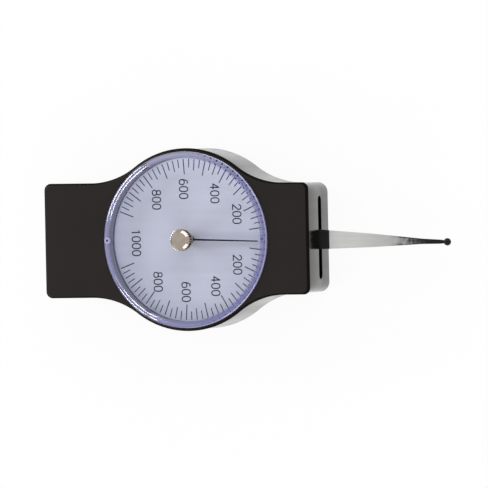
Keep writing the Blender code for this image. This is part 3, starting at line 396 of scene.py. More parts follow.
def body_outline(inset, corner):
    """The outline of the body, drawn in by inset, with rounded ears blended into the disc."""
    nose, nose_meeting = quarter(NOSE_HALF_HEIGHT, NOSE_END, NOSE_SHOULDER_SHARE, inset, corner)
    sizes = (HANDLE_HALF_HEIGHT, HANDLE_END, HANDLE_SHOULDER_SHARE)
    handle, handle_meeting = quarter(*sizes, inset, corner)
    disc = arc((0, 0), DISC_RADIUS - inset, nose_meeting, pi - handle_meeting, DISC_POINTS)
    upper = nose + disc[1:-1] + [(-x, y) for x, y in reversed(handle)]
    return upper + [(x, -y) for x, y in reversed(upper)]


def inner_corner(inset):
    """The corner's radius for an outline inside the case, drawn in by inset."""
    return max(CASE_CORNER - (inset - CASE_INSET), INNER_CORNER)


def case_screw_places():
    """Where the four case screws stand."""
    nose = (NOSE_END - POST_FROM_NOSE_END, NOSE_HALF_HEIGHT - POST_FROM_SIDE)
    handle = (POST_FROM_HANDLE_END - HANDLE_END, HANDLE_HALF_HEIGHT - POST_FROM_SIDE)
    return [(x, side * y) for x, y in (nose, handle) for side in (1, -1)]


# Objects


def smooth(mesh, sharp_angle=SHARP_ANGLE):
    """Makes the round sides smooth and keeps edges that bend more than the angle sharp."""
    mesh.shade_smooth()
    mesh.set_sharp_from_angle(angle=radians(sharp_angle))


def make_object(name, shape, sharp_angle=SHARP_ANGLE):
    """A new object whose faces point out and whose round sides are smooth."""
    bmesh.ops.recalc_face_normals(shape, faces=shape.faces)
    mesh = bpy.data.meshes.new(name)
    shape.to_mesh(mesh)
    shape.free()
    smooth(mesh, sharp_angle)
    made = bpy.data.objects.new(name, mesh)
    bpy.context.scene.collection.objects.link(made)
    return made


def carve(target, shape, operation="DIFFERENCE"):
    """Cuts a shape out of the target, or joins it on, for good."""
    tool = make_object("carving_tool", shape)
    modifier = target.modifiers.new("carve", "BOOLEAN")
    modifier.operation = operation
    modifier.solver = "EXACT"
    modifier.object = tool
    result = target.evaluated_get(bpy.context.evaluated_depsgraph_get())
    mesh = bpy.data.meshes.new_from_object(result)
    target.modifiers.clear()
    target.data = mesh
    bpy.data.objects.remove(tool, do_unlink=True)


def dress(piece, body, node, finish):
    """Puts a finished piece on its body, in place of a CAD node."""
    piece.data.materials.clear()
    piece.data.materials.append(finish)
    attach(piece, body)
    if node:
        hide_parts(node)


def put_at(piece, x, angle):
    """Turns a piece modelled along X about the Z axis at x, into its rest place."""
    piece.data.transform(Matrix.Translation((x, 0, 0)) @ Matrix.Rotation(angle, 4, "Z"))


# Heights of the CAD's own layers


def layer(node):
    """The heights of a CAD node's bottom and top."""
    low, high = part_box(node)
    return low.z, high.z


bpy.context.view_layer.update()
REAR_BOTTOM, REAR_TOP = layer("rear_cover")
LEDGE_HEIGHT = REAR_TOP + SEAT_GAP
CASE_TOP = layer("case_body")[1]
COVER_BOTTOM = CASE_TOP + SEAT_GAP
DIAL_BOTTOM, DIAL_TOP = layer("dial_plate")
DIAL_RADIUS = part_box("dial_plate")[1].x
CRYSTAL_BOTTOM, CRYSTAL_TOP = layer("crystal")
WINDOW_BOTTOM = layer("crystal_bush")[0]
PLATE_TOP = layer("front_plate")[1]
SLOT_HEIGHT = sum(layer("feeler_blade")) / 2
SEAT_BORE = DIAL_RADIUS + 2 * SEAT_GAP - SEAT_WIDTH


# Materials


class Finish:
    """A Principled material, with short calls that add procedural detail to it."""

    def __init__(self, name, colour, roughness, metallic=0.0):
        self.material = bpy.data.materials.new(name)
        self.material.use_nodes = True
        self.tree = self.material.node_tree
        self.shader = self.tree.nodes["Principled BSDF"]
        self.set("Base Color", (*colour, 1.0))
        self.set("Roughness", roughness)
        self.set("Metallic", metallic)

    def set(self, socket, value):
        """Gives a socket of the shader a value, or links another node's socket to it."""
        self.join(value, self.shader.inputs[socket])

    def join(self, value, socket):
        if isinstance(value, bpy.types.NodeSocket):
            self.tree.links.new(value, socket)
        else:
            socket.default_value = value

    def add(self, kind, inputs=None, **settings):
        node = self.tree.nodes.new("ShaderNode" + kind)
        for name, value in settings.items():
            setattr(node, name, value)
        for socket, value in (inputs or {}).items():
            self.join(value, node.inputs[socket])
        return node

    def place(self, stretch=(1, 1, 1)):
        """The point on the piece, in metres, with each direction stretched."""
        point = self.add("TexCoord").outputs["Object"]
        return self.add("Mapping", {"Vector": point, "Scale": stretch}).outputs["Vector"]

    def noise(self, scale, detail=3.0, stretch=(1, 1, 1)):
        inputs = {"Vector": self.place(stretch), "Scale": scale, "Detail": detail}
        return self.add("TexNoise", inputs).outputs[0]

    def level(self, value, start, end, low, high):
        """A number that goes from low to high while value goes from start to end."""
        inputs = {"Value": value, "From Min": start, "From Max": end, "To Min": low, "To Max": high}
        return self.add("MapRange", inputs).outputs["Result"]

    def math(self, operation, first, second=0.0, third=0.0):
        return self.add("Math", {0: first, 1: second, 2: third}, operation=operation).outputs[0]

    def ramp(self, value, stops):
        """Colours at places from 0 to 1."""
        node = self.add("ValToRGB", {"Fac": value})
        colours = node.color_ramp.elements
        while len(colours) < len(stops):
            colours.new(1.0)
        for element, (position, colour) in zip(colours, stops):
            element.position = position
            element.color = (*colour, 1.0)
        return node.outputs["Color"]

    def blend(self, share, first, second):
        """A colour that goes from first to second while share goes from 0 to 1."""
        inputs = {"Factor": share, "A": first, "B": second}
        return self.add("Mix", inputs, data_type="RGBA").outputs["Result"]

    def near(self, value, middle, reach):
        """1 where value is within reach of the middle, and 0 beyond it."""
        return self.math("COMPARE", value, middle, reach)

    def bump(self, height, distance):
        inputs = {"Height": height, "Distance": distance, "Strength": 1.0}
        self.set("Normal", self.add("Bump", inputs).outputs["Normal"])

    def axis(self, name):
        """One coordinate of the point on the piece, in metres."""
        return self.add("SeparateXYZ", {"Vector": self.place()}).outputs[name]

    def facing(self, name):
        """One coordinate of the direction in which the surface faces."""
        normal = self.add("TexCoord").outputs["Normal"]
        return self.add("SeparateXYZ", {"Vector": normal}).outputs[name]

    def radius(self):
        """How far the point is from the dial's axis."""
        flat = self.place((1, 1, 0))
        return self.add("VectorMath", {0: flat}, operation="LENGTH").outputs["Value"]

    def away(self, x):
        """How far the point is from the upright line through x on the X axis."""
        inputs = {0: self.place((1, 1, 0)), 1: (x, 0, 0)}
        return self.add("VectorMath", inputs, operation="DISTANCE").outputs["Value"]

    def product(self, first, *others):
        """All the values multiplied."""
        for value in others:
            first = self.math("MULTIPLY", first, value)
        return first

    def scaled(self, colours, share):
        """The colours, each times the share."""
        inputs = {0: colours, "Scale": share}
        return self.add("VectorMath", inputs, operation="SCALE").outputs["Vector"]


def black_plastic(name):
    """Black moulded plastic with a fine grain, satin on its flat faces and matt on its edges, which are
    painted darker as painted shade.
    """
    made = Finish(name, (0.006, 0.005, 0.005), 0.6)
    flat = made.level(made.math("ABSOLUTE", made.facing("Z")), 0.82, 0.985, 0.0, 1.0)
    patch = made.level(made.noise(45, 4.0), 0.3, 0.7, -0.15, 0.15)
    # Painted shade: the colour is darker on the edges than on the flat faces.
    tone = made.math("ADD", made.level(flat, 0.0, 1.0, 0.2, 0.75), patch)
    stops = [(0.0, (0.0045, 0.0036, 0.0034)), (1.0, (0.0125, 0.0084, 0.0078))]
    made.set("Base Color", made.ramp(tone, stops))
    made.set("Roughness", made.level(made.noise(180, 5.0), 0.3, 0.7, 0.5, 0.65))
    made.set("Specular IOR Level", 0.02)
    made.set("Coat Weight", made.math("MULTIPLY", flat, 0.45))
    made.set("Coat Roughness", 0.42)
    made.bump(made.noise(5200, 2.0), 0.000008)
    return made.material


def case_metal(name):
    """Polished aluminium with fine marks. The end with the slot in it is painted darker, as painted shade
    graded by height, and the side facing +Y is painted darker than the side facing -Y, as painted shade.
    """
    made = Finish(name, (0.5, 0.5, 0.5), 0.2, 1.0)
    end = made.level(made.facing("X"), 0.35, 0.97, 0.0, 1.0)
    height = made.axis("Z")
    # Painted shade: the end is painted darker than the sides, and darker still near the cover and near the
    # back.
    shade_near_cover = made.level(height, *END_SHADE_UNDER_COVER, 0.208, 0.109)
    shade_near_back = made.level(height, *END_SHADE_OVER_BACK, 0.05, 0.0)
    end_shade_tone = made.math("SUBTRACT", shade_near_cover, shade_near_back)
    # Painted shade: the side facing +Y is painted darker than the side facing -Y.
    side_tone_and_shade = made.level(made.facing("Y"), -1.0, 1.0, 0.296, 0.187)
    change = made.math("MULTIPLY", end, made.math("SUBTRACT", end_shade_tone, side_tone_and_shade))
    marks = made.level(made.noise(260, 5.0, (1, 1, 0.2)), 0.3, 0.7, 0.94, 1.06)
    tone = made.math("MULTIPLY", made.math("ADD", side_tone_and_shade, change), marks)
    made.set("Base Color", made.ramp(tone, [(0.0, (0.0, 0.0, 0.0)), (1.0, (1.0, 0.995, 0.99))]))
    made.set("Specular Tint", (0.92, 0.92, 0.92, 1.0))
    made.set("Roughness", made.level(made.noise(700, 4.0, (1, 1, 0.1)), 0.3, 0.7, 0.10, 0.2))
    made.bump(made.noise(3600, 3.0, (1, 1, 0.05)), 0.000002)
    return made.material


def rim_colours(made, radius):
    """The crystal's colours from its window out over its rim, deeper on the right and painted paler at the
    top as painted light, with painted shade at the outer edge on the left and a painted highlight at the
    outer edge on the right.
    """
    across = made.level(radius, *RIM_COLOUR_RADII, 0.0, 1.0)
    window = (0.50, 0.50, 0.80)
    # The last stop on the left is painted shade, and the last stop on the right is a painted highlight.
    left = [(0.0, window), (0.15, (0.20, 0.205, 0.30)), (0.26, (0.24, 0.24, 0.44))]
    left += [(0.42, (0.29, 0.29, 0.58)), (0.8, (0.30, 0.30, 0.59)), (0.92, (0.10, 0.10, 0.20))]
    right = [(0.0, window), (0.08, (0.18, 0.18, 0.47)), (0.45, (0.12, 0.123, 0.37))]
    right += [(0.8, (0.165, 0.168, 0.42)), (0.93, (0.30, 0.30, 0.56)), (0.985, (0.66, 0.65, 0.88))]
    upper = made.math("MAXIMUM", made.axis("Y"), 0.0)
    leaning = made.math("MULTIPLY_ADD", upper, RIM_SIDES_LEAN, made.axis("X"))
    side = made.level(leaning, *RIM_SIDES_MEET, 0.0, 1.0)
    colours = made.blend(side, made.ramp(across, left), made.ramp(across, right))
    # Painted light: the top of the rim is painted paler.
    top = made.level(made.axis("Y"), *RIM_TOP, 0.0, RIM_TOP_PAINTED_LIGHT)
    return made.blend(top, colours, (0.66, 0.64, 0.72, 1.0))


def rim_painted_reflections_and_shade(made, radius, turn):
    """Where the rim is painted dark: painted reflections of the dial's ticks in its right half, and painted
    shade at the ends of its white arcs.
    """
    beat = made.math("FRACT", made.math("DIVIDE", turn, TICK_REFLECTION_PITCH))
    rings = [made.near(radius, middle, TICK_REFLECTION_LENGTH / 2) for middle in TICK_REFLECTION_RADII]
    # Painted reflection: the dial's ticks, painted dark in the rim's right half.
    ticks = made.product(
        made.near(beat, 0.5, TICK_REFLECTION_HALF_SHARE),
        made.math("MAXIMUM", *rings),
        made.level(made.axis("X"), *TICK_REFLECTIONS_ALONG, 0.0, 1.0),
        made.level(made.axis("Y"), *TICK_REFLECTIONS_UP, 0.5, 1.0),
    )
    # Painted shade: dark at the ends of the white arcs.
    rings = [made.near(radius, middle, reach) for middle, reach in ARC_END_SHADE_RINGS]
    at_end = made.near(made.math("ABSOLUTE", turn), ARC_END_SHADE_TURN, ARC_END_SHADE_REACH)
    return made.math("MAXIMUM", ticks, made.product(at_end, made.math("MAXIMUM", *rings)))


def arc_shade_line(made, radius, turn):
    """Where the rim has the painted shade line that runs between its white arcs."""
    turn = made.math("ABSOLUTE", turn)
    # Painted shade: dark between the white arcs.
    return made.product(
        made.level(turn, *ARC_SHADE_LINE_FAR_END, 0.0, 0.7),
        made.near(radius, ARC_SHADE_LINE_RADIUS, ARC_SHADE_LINE_REACH),
        made.level(turn, *ARC_SHADE_LINE_NEAR_END, 0.0, 1.0),
    )


def clear_violet(name):
    """Clear violet plastic, deeper in colour in its rim, with painted reflections of the dial's ticks in the
    rim's right half and painted shade at the ends of its white arcs and on the line between them.

    The left half has a grey band too, painted shade where the skirt shows, with its upright faces painted
    lighter than its flat ones. It lies between two circles, and the inner one has its centre to the right of
    the dial's.
    """
    made = Finish(name, (0.5, 0.5, 0.85), 0.06)
    radius = made.radius()
    turn = made.math("ARCTAN2", made.axis("Y"), made.axis("X"))
    rim = made.level(radius, *RIM_START_RADII, 0.0, 1.0)
    # Painted tick reflections and painted shade at the arc ends, used below in colour, alpha and coat.
    marks = rim_painted_reflections_and_shade(made, radius, turn)
    line = arc_shade_line(made, radius, turn)
    # Painted shade: a grey band on the left, with its upright faces painted lighter than its flat ones.
    outside = made.level(made.away(SHADE_BAND_CENTRE), *SHADE_BAND_START, 0.0, 1.0)
    band = made.product(outside, made.math("LESS_THAN", radius, SHADE_BAND_END_RADIUS))
    standing = made.level(made.math("ABSOLUTE", made.facing("Z")), 0.3, 0.6, 1.0, 0.0)
    grey = made.blend(standing, (0.135, 0.14, 0.21, 1.0), (0.23, 0.235, 0.34, 1.0))
    # Painted shade on the line between the arcs, then the grey band, then the painted tick reflections.
    colours = made.blend(line, rim_colours(made, radius), (0.045, 0.04, 0.1, 1.0))
    colours = made.blend(band, colours, grey)
    made.set("Base Color", made.blend(marks, colours, (0.015, 0.015, 0.09, 1.0)))
    haze = made.level(made.noise(90, 4.0), 0.3, 0.7, 0.012, 0.022)
    solid = made.math("ADD", haze, made.math("MULTIPLY", rim, 0.68))
    solid = made.math("MAXIMUM", solid, made.math("MULTIPLY", band, 0.93))
    made.set("Alpha", made.math("ADD", solid, made.math("MULTIPLY", marks, 0.25)))
    made.set("Roughness", made.level(made.noise(400, 3.0), 0.3, 0.7, 0.08, 0.13))
    made.set("Coat Weight", made.math("SUBTRACT", rim, made.math("MAXIMUM", marks, line)))
    made.set("Coat Roughness", 0.085)
    made.set("Coat IOR", 2.2)
    made.bump(made.noise(700, 2.0), 0.000001)
    return made.material


def pip_violet(name):
    """Clear plastic of the two moulding pips, painted pale as a painted glint, with painted shade in the
    dimple, and dark on the far one.
    """
    made = Finish(name, (0.6, 0.6, 0.86), 0.15)
    # Painted shade in the dimple; the pale colour is a painted glint.
    dimple = made.math("LESS_THAN", made.away(PIP_PLACE), PIP_DIMPLE_RADIUS)
    dark = made.math("MAXIMUM", dimple, made.math("GREATER_THAN", made.axis("X"), 0.0))
    pale_glint = made.ramp(made.noise(1500, 3.0), [(0.3, (0.34, 0.34, 0.57)), (0.7, (0.46, 0.46, 0.69))])
    made.set("Base Color", made.blend(dark, pale_glint, (0.1, 0.1, 0.24, 1.0)))
    made.set("Roughness", made.level(made.noise(900, 3.0), 0.3, 0.7, 0.1, 0.2))
    made.bump(made.noise(1500, 2.0), 0.000002)
    return made.material


def dial_white(name):
    """A matt white plate with faint streaks along the feeler's line.

    It is painted paler at its upper left edge, as painted light that offsets the shade the crystal's rim
    throws there.
    """
    made = Finish(name, (0.7, 0.72, 0.86), 0.5)
    streaks = made.noise(420, 4.0, (0.06, 1, 1))
    patch = made.noise(40, 3.0)
    tone = made.math("ADD", made.math("MULTIPLY", streaks, 0.5), made.math("MULTIPLY", patch, 0.5))
    paper = made.ramp(tone, [(0.35, (0.475, 0.495, 0.605)), (0.65, (0.525, 0.545, 0.655))])
    # Painted light: paler toward the upper left edge.
    outward = made.level(made.radius(), *DIAL_EDGE_RADII, 0.0, 1.0)
    across = made.math("MULTIPLY", made.axis("X"), DIAL_EDGE_ALONG)
    upper_left = made.math("MULTIPLY_ADD", made.axis("Y"), DIAL_EDGE_UP, across)
    gain = made.math("MULTIPLY_ADD", upper_left, DIAL_EDGE_GAIN, DIAL_EDGE_GAIN)
    paler = made.math("MULTIPLY_ADD", made.math("MULTIPLY", outward, outward), gain, 1.0)
    made.set("Base Color", made.scaled(paper, paler))
    made.set("Roughness", made.level(patch, 0.3, 0.7, 0.42, 0.55))
    made.bump(streaks, 0.000002)
    return made.material


def black_ink(name):
    """Printed ink, a little thin in places."""
    made = Finish(name, (0.03, 0.03, 0.04), 0.6)
    made.set("Specular IOR Level", 0.2)
    spots = made.noise(2600, 3.0)
    stops = [(0.3, (0.004, 0.005, 0.013)), (0.75, (0.014, 0.017, 0.042))]
    made.set("Base Color", made.ramp(spots, stops))
    made.bump(spots, 0.000002)
    return made.material


def black_paint(name):
    """Thin black paint on a stamped hand."""
    made = Finish(name, (0.005, 0.005, 0.008), 0.5)
    made.set("Specular IOR Level", 0.2)
    spots = made.noise(1500, 3.0)
    stops = [(0.3, (0.003, 0.003, 0.006)), (0.7, (0.007, 0.007, 0.012))]
    made.set("Base Color", made.ramp(spots, stops))
    made.set("Roughness", made.level(spots, 0.3, 0.7, 0.4, 0.55))
    made.bump(spots, 0.000002)
    return made.material


def turned_nickel(name):
    """Satin nickel with the fine rings of turning, and painted shade in the grooves between the knurls."""
    made = Finish(name, (0.62, 0.55, 0.48), 0.3, 1.0)
    inputs = {"Scale": 900, "Distortion": 1.5, "Vector": made.place((1, 1, 0))}
    rings = made.add("TexWave", inputs, wave_type="RINGS", rings_direction="Z").outputs[0]
    upright = made.facing("Z")
    side = made.level(made.math("ABSOLUTE", upright), 0.1, 0.4, 1.0, 0.0)
    # Painted shade: dark in the grooves of the knurled side.
    groove = made.level(made.radius(), *GROOVE_SHADE_RADII, 1.0, 0.1)
    groove_shade = made.math("SUBTRACT", 1.0, made.math("MULTIPLY", side, groove))
    patch = made.level(made.noise(500, 4.0), 0.3, 0.7, 0.8, 1.0)
    stops = [(0.0, (0.012, 0.01, 0.014)), (0.8, (0.45, 0.38, 0.32)), (1.0, (0.56, 0.48, 0.40))]
    made.set("Base Color", made.ramp(made.math("MULTIPLY", groove_shade, patch), stops))
    made.set("Roughness", made.level(upright, 0.9, 0.97, 0.14, 0.34))
    made.bump(rings, 0.000003)
    return made.material


def metal(name, dark, light, roughness, stretch=(1, 1, 1)):
    """Worked metal: a colour that varies, brushed or ground marks, and uneven shine."""
    made = Finish(name, light, roughness, 1.0)
    marks = made.noise(900, 4.0, stretch)
    made.set("Base Color", made.ramp(marks, [(0.25, dark), (0.75, light)]))
    made.set("Roughness", made.level(made.noise(300, 3.0), 0.3, 0.7, roughness * 0.8, roughness * 1.25))
    made.bump(made.noise(4200, 3.0, stretch), 0.000003)
    return made.material


def feeler_steel(name):
    """Matt plated steel, black where it leaves the case and, in streaks and blotches, toward its ball."""
    made = Finish(name, (0.6, 0.6, 0.6), 0.3, 0.35)
    along = made.axis("X")
    streaks = made.noise(900, 4.0, (0.12, 1, 1))
    wander = made.level(streaks, 0.3, 0.7, -FEELER_STREAK_SIZE, FEELER_STREAK_SIZE)
    blotches = made.noise(1100, 4.0, (1, 0.3, 1))
    blotches = made.level(blotches, 0.35, 0.65, -FEELER_BLOTCH_SIZE, FEELER_BLOTCH_SIZE)
    middle = made.math("MULTIPLY_ADD", along, FEELER_SLOPE, -FEELER_SLOPE * LEVER_X)
    off_middle = made.math("ABSOLUTE", made.math("ADD", made.axis("Y"), middle))
    near_edge = made.level(off_middle, *FEELER_EDGE, *FEELER_EDGE_SHIFT)
    late = made.level(along, *FEELER_BLOTCHES, 0.0, 1.0)
    spread = made.math("ADD", made.math("ADD", wander, blotches), near_edge)
    place = made.math("ADD", along, made.math("MULTIPLY", spread, late))
    greys = [(0.02, 0.88), (0.14, 0.76), (0.34, 0.63), (0.50, 0.49)]
    greys += [(0.585, 0.31), (0.65, 0.085), (0.76, 0.014), (1.0, 0.012)]
    stops = [(position, (value, value, value * 0.98)) for position, value in greys]
    shade = made.ramp(made.level(place, *FEELER_TONES, 0.0, 1.0), stops)
    root = made.level(along, *FEELER_ROOT_END, 1.0, 0.0)
    colours = made.blend(root, shade, (0.028, 0.026, 0.027, 1.0))
    made.set("Base Color", made.scaled(colours, made.level(streaks, 0.3, 0.7, 0.93, 1.03)))
    made.set("Roughness", made.level(streaks, 0.3, 0.7, 0.3, 0.42))
    made.set("Specular IOR Level", 0.15)
    made.bump(made.noise(4200, 3.0, (0.05, 1, 1)), 0.000004)
    return made.material


# Pieces


def make_case_shell(finish):
    """The case: walls and end slot, seats of the rear cover and the dial, and four screw posts."""
    steps = rounding(CASE_BACK_ROUNDING)
    levels = [(down, body_outline(CASE_INSET + drawn_in, CASE_CORNER)) for drawn_in, down in reversed(steps)]
    levels.append((CASE_TOP, body_outline(CASE_INSET, CASE_CORNER)))
    shell = make_object("case_shell", stacked(bmesh.new(), levels))

    inset = CASE_INSET + RIM_WALL
    outline = body_outline(inset, inner_corner(inset))
    carve(shell, stacked(bmesh.new(), [(-OVERRUN, outline), (LEDGE_HEIGHT, outline)]))
    inset = CASE_INSET + CASE_WALL
    outline = body_outline(inset, inner_corner(inset))
    deck = PLATE_TOP + SEAT_GAP
    carve(shell, stacked(bmesh.new(), [(LEDGE_HEIGHT - SEAT_GAP, outline), (deck, outline)]))
    bore = DIAL_RADIUS + 2 * SEAT_GAP
    seat = DIAL_BOTTOM - SEAT_GAP
    profile = [(0, deck - OVERRUN), (SEAT_BORE, deck - OVERRUN), (SEAT_BORE, seat), (bore, seat)]
    profile += [(bore, CASE_TOP + OVERRUN), (0, CASE_TOP + OVERRUN)]
    carve(shell, turned(bmesh.new(), profile, RING_SIDES))

    posts = bmesh.new()
    holes = bmesh.new()
    for place in case_screw_places():
        rod(posts, POST_RADIUS, LEDGE_HEIGHT + SEAT_GAP, deck + OVERRUN / 2, SHAFT_SIDES, place)
        floor = COVER_BOTTOM - BOSS_HOLE_DEPTH
        profile = [(0, 0), (SCREW_HOLE_RADIUS, 0), (SCREW_HOLE_RADIUS, floor), (BOSS_HOLE_RADIUS, floor)]
        profile += [(BOSS_HOLE_RADIUS, CASE_TOP + OVERRUN), (0, CASE_TOP + OVERRUN)]
        turned(holes, profile, SHAFT_SIDES, place)
    carve(shell, posts, "UNION")
    carve(shell, holes)
    carve(shell, slot_cutter())
    smooth(shell.data)
    dress(shell, "case", "case_body", finish)


def slot_cutter():
    """The slot through the end wall, with a small chamfer round its mouth."""
    radius = SLOT_WIDTH / 2
    reach = SLOT_LENGTH / 2 - radius
    outside = NOSE_END - CASE_INSET
    inside = outside - CASE_WALL - SEAT_GAP
    loops = []
    sections = [(inside, 0), (outside - SLOT_CHAMFER, 0), (outside, SLOT_CHAMFER)]
    sections.append((outside + OVERRUN, SLOT_CHAMFER + OVERRUN))
    for x, wider in sections:
        ends = arc((reach, SLOT_HEIGHT), radius + wider, -pi / 2, pi / 2, CORNER_POINTS)
        ends += arc((-reach, SLOT_HEIGHT), radius + wider, pi / 2, 3 * pi / 2, CORNER_POINTS)
        loops.append([(x, y, z) for y, z in ends])
    return lofted(bmesh.new(), loops)


def make_cover_shell(finish):
    """The front cover, with a rounded edge, the crystal's opening and four screw bosses below."""
    levels = [(COVER_BOTTOM, body_outline(0, COVER_CORNER))]
    for drawn_in, down in rounding(COVER_EDGE_ROUNDING):
        levels.append((BODY_DEPTH - down, body_outline(drawn_in, COVER_CORNER)))
    cover = make_object("cover_shell", stacked(bmesh.new(), levels))
    bore = CRYSTAL_RADIUS + SEAT_GAP / 2
    lip = BODY_DEPTH - COVER_LIP_CHAMFER
    profile = [(0, COVER_BOTTOM - OVERRUN), (bore, COVER_BOTTOM - OVERRUN), (bore, lip)]
    profile += [(bore + COVER_LIP_CHAMFER + OVERRUN, BODY_DEPTH + OVERRUN), (0, BODY_DEPTH + OVERRUN)]
    carve(cover, turned(bmesh.new(), profile, RING_SIDES))
    bosses = bmesh.new()
    holes = bmesh.new()
    for place in case_screw_places():
        low = COVER_BOTTOM - BOSS_LENGTH
        rod(bosses, BOSS_RADIUS, low, BODY_DEPTH - BOSS_FLOOR, SHAFT_SIDES, place)
        rod(holes, SCREW_HOLE_RADIUS, low - OVERRUN, BODY_DEPTH - BOSS_FLOOR, SHAFT_SIDES, place)
    carve(cover, bosses, "UNION")
    carve(cover, holes)
    smooth(cover.data)
    dress(cover, "case", "front_cover", finish)


def make_rear_shell(finish):
    """The rear cover, with four counterbored holes."""
    inset = CASE_INSET + RIM_WALL + SEAT_GAP
    corner = inner_corner(inset)
    levels = []
    for drawn_in, down in reversed(rounding(REAR_EDGE_ROUNDING)):
        levels.append((REAR_BOTTOM + down, body_outline(inset + drawn_in, corner)))
    levels.append((REAR_TOP, body_outline(inset, corner)))
    rear = make_object("rear_shell", stacked(bmesh.new(), levels))
    holes = bmesh.new()
    for place in case_screw_places():
        profile = [(0, -OVERRUN), (COUNTERBORE_RADIUS, -OVERRUN), (COUNTERBORE_RADIUS, COUNTERBORE_DEPTH)]
        profile += [(SCREW_HOLE_RADIUS, COUNTERBORE_DEPTH), (SCREW_HOLE_RADIUS, REAR_TOP + OVERRUN)]
        profile.append((0, REAR_TOP + OVERRUN))
        turned(holes, profile, SHAFT_SIDES, place)
    carve(rear, holes)
    smooth(rear.data)
    dress(rear, "case", "rear_cover", finish)


def make_crystal_lens(finish, pip_finish):
    """The crystal, with its stepped rim and its skirt, and the two moulding pips on the rim."""
    skirt_outside = DIAL_RADIUS - SEAT_GAP / 3
    skirt_inside = skirt_outside - CRYSTAL_SKIRT
    window_top = CRYSTAL_TOP - CRYSTAL_RIM_STEP
    profile = [(CRYSTAL_BORE, WINDOW_BOTTOM)]
    middle = (skirt_inside - CRYSTAL_FILLET, WINDOW_BOTTOM - CRYSTAL_FILLET)
    profile += arc(middle, CRYSTAL_FILLET, pi / 2, 0, ROUNDING_STEPS)
    profile += [(skirt_inside, CRYSTAL_BOTTOM), (skirt_outside, CRYSTAL_BOTTOM)]
    profile += [(skirt_outside, COVER_BOTTOM), (CRYSTAL_RADIUS, COVER_BOTTOM)]
    for drawn_in, down in CRYSTAL_RIM_PROFILE:
        profile.append((CRYSTAL_RADIUS - drawn_in, CRYSTAL_TOP - down))
    profile.append((CRYSTAL_BORE, window_top))
    lens = make_object("crystal_lens", turned(bmesh.new(), profile, LENS_SIDES), LENS_SHARP_ANGLE)
    dress(lens, "case", "crystal", finish)

    top = CRYSTAL_TOP + PIP_RISE
    edge = PIP_RADIUS - PIP_RISE
    profile = [(0, window_top), (PIP_RADIUS, window_top), (PIP_RADIUS, CRYSTAL_TOP), (edge, top)]
    profile += [(PIP_DIMPLE_RADIUS, top), (PIP_DIMPLE_RADIUS, CRYSTAL_TOP), (0, CRYSTAL_TOP)]
    pips = turned(bmesh.new(), profile, SHAFT_SIDES, (PIP_PLACE, 0))
    profile = [(0, window_top), (FAR_PIP_RADIUS, window_top), (FAR_PIP_RADIUS, CRYSTAL_TOP)]
    profile.append((0, CRYSTAL_TOP + PIP_RISE / 2))
    turned(pips, profile, SHAFT_SIDES, (FAR_PIP_PLACE, 0))
    dress(make_object("crystal_pips", pips), "case", None, pip_finish)


def make_dial_face(finish):
    """The dial, a plain disc with a hole for the pointer's shaft."""
    profile = [(DIAL_HOLE_RADIUS, DIAL_BOTTOM), (DIAL_RADIUS, DIAL_BOTTOM)]
    profile += [(DIAL_RADIUS, DIAL_TOP), (DIAL_HOLE_RADIUS, DIAL_TOP)]
    face = make_object("dial_face", turned(bmesh.new(), profile, RING_SIDES))
    dress(face, "case", "dial_plate", finish)


def tick_angle(value):
    """The angle from zero to a value's tick, from the slightly uneven scale of a lever gauge."""
    a, b, c, d = SCALE_CUBIC
    return radians(a * value**3 + b * value**2 + c * value + d)


def digit_strokes(digit):
    """The strokes of a digit in a square from -0.5 to 0.5, as (points, whether they close)."""
    if digit == "0":
        return [(oval((0, 0), 0.5, 0.5), True)]
    if digit == "1":
        return [([(-0.22, 0.3), (0.05, 0.5), (0.05, 0.0), (0.05, -0.5)], False)]
    if digit == "2":
        turns = np.linspace(pi * 0.95, -pi * 0.12, BOW_POINTS)
        bow = [(0.47 * cos(turn), 0.23 + 0.27 * sin(turn)) for turn in turns]
        return [(bow + [(-0.5, -0.5)], False), ([(-0.5, -0.5), (0.5, -0.5)], False)]
    if digit == "4":
        foot, top, left, right = (0.2, -0.5), (0.2, 0.5), (-0.5, -0.2), (0.5, -0.2)
        return [([foot, top], False), ([top, left], False), ([left, right], False)]
    if digit == "6":
        turns = np.linspace(pi, pi * 0.38, STEM_POINTS)
        stem = [(0.5 * cos(turn), -0.2 + 0.7 * sin(turn)) for turn in turns]
        return [(oval((0, -0.2), 0.5, 0.3), True), (stem, False)]
    return [(oval((0, 0.26), 0.41, 0.24), True), (oval((0, -0.24), 0.5, 0.26), True)]


def make_dial_print(finish):
    """The scale's ticks and plain numerals, as thin ink on the dial."""
    ink = bmesh.new()
    bottom = DIAL_TOP + INK_GAP
    top = bottom + INK_THICKNESS
    for value in range(SCALE_FIRST, SCALE_LAST + 1, SCALE_STEP):
        kind = next(step for step in TICK_INNER_RADII if value % step == 0)
        for side in (1, -1):
            turn = side * tick_angle(value)
            radii = (TICK_INNER_RADII[kind], TICK_OUTER_RADIUS)
            ends = [(radius * cos(turn), radius * sin(turn)) for radius in radii]
            ribbon(ink, ends, TICK_WIDTHS[kind], bottom, top)
    for label, x, y in NUMERALS:
        for k, digit in enumerate(label):
            offset = (k - (len(label) - 1) / 2) * DIGIT_PITCH
            for points, closed in digit_strokes(digit):
                placed = [(x + v * DIGIT_HEIGHT, y - u * DIGIT_WIDTH - offset) for u, v in points]
                ribbon(ink, placed, STROKE_WIDTH, bottom, top, closed)
    dress(make_object("dial_print", ink), "case", None, finish)


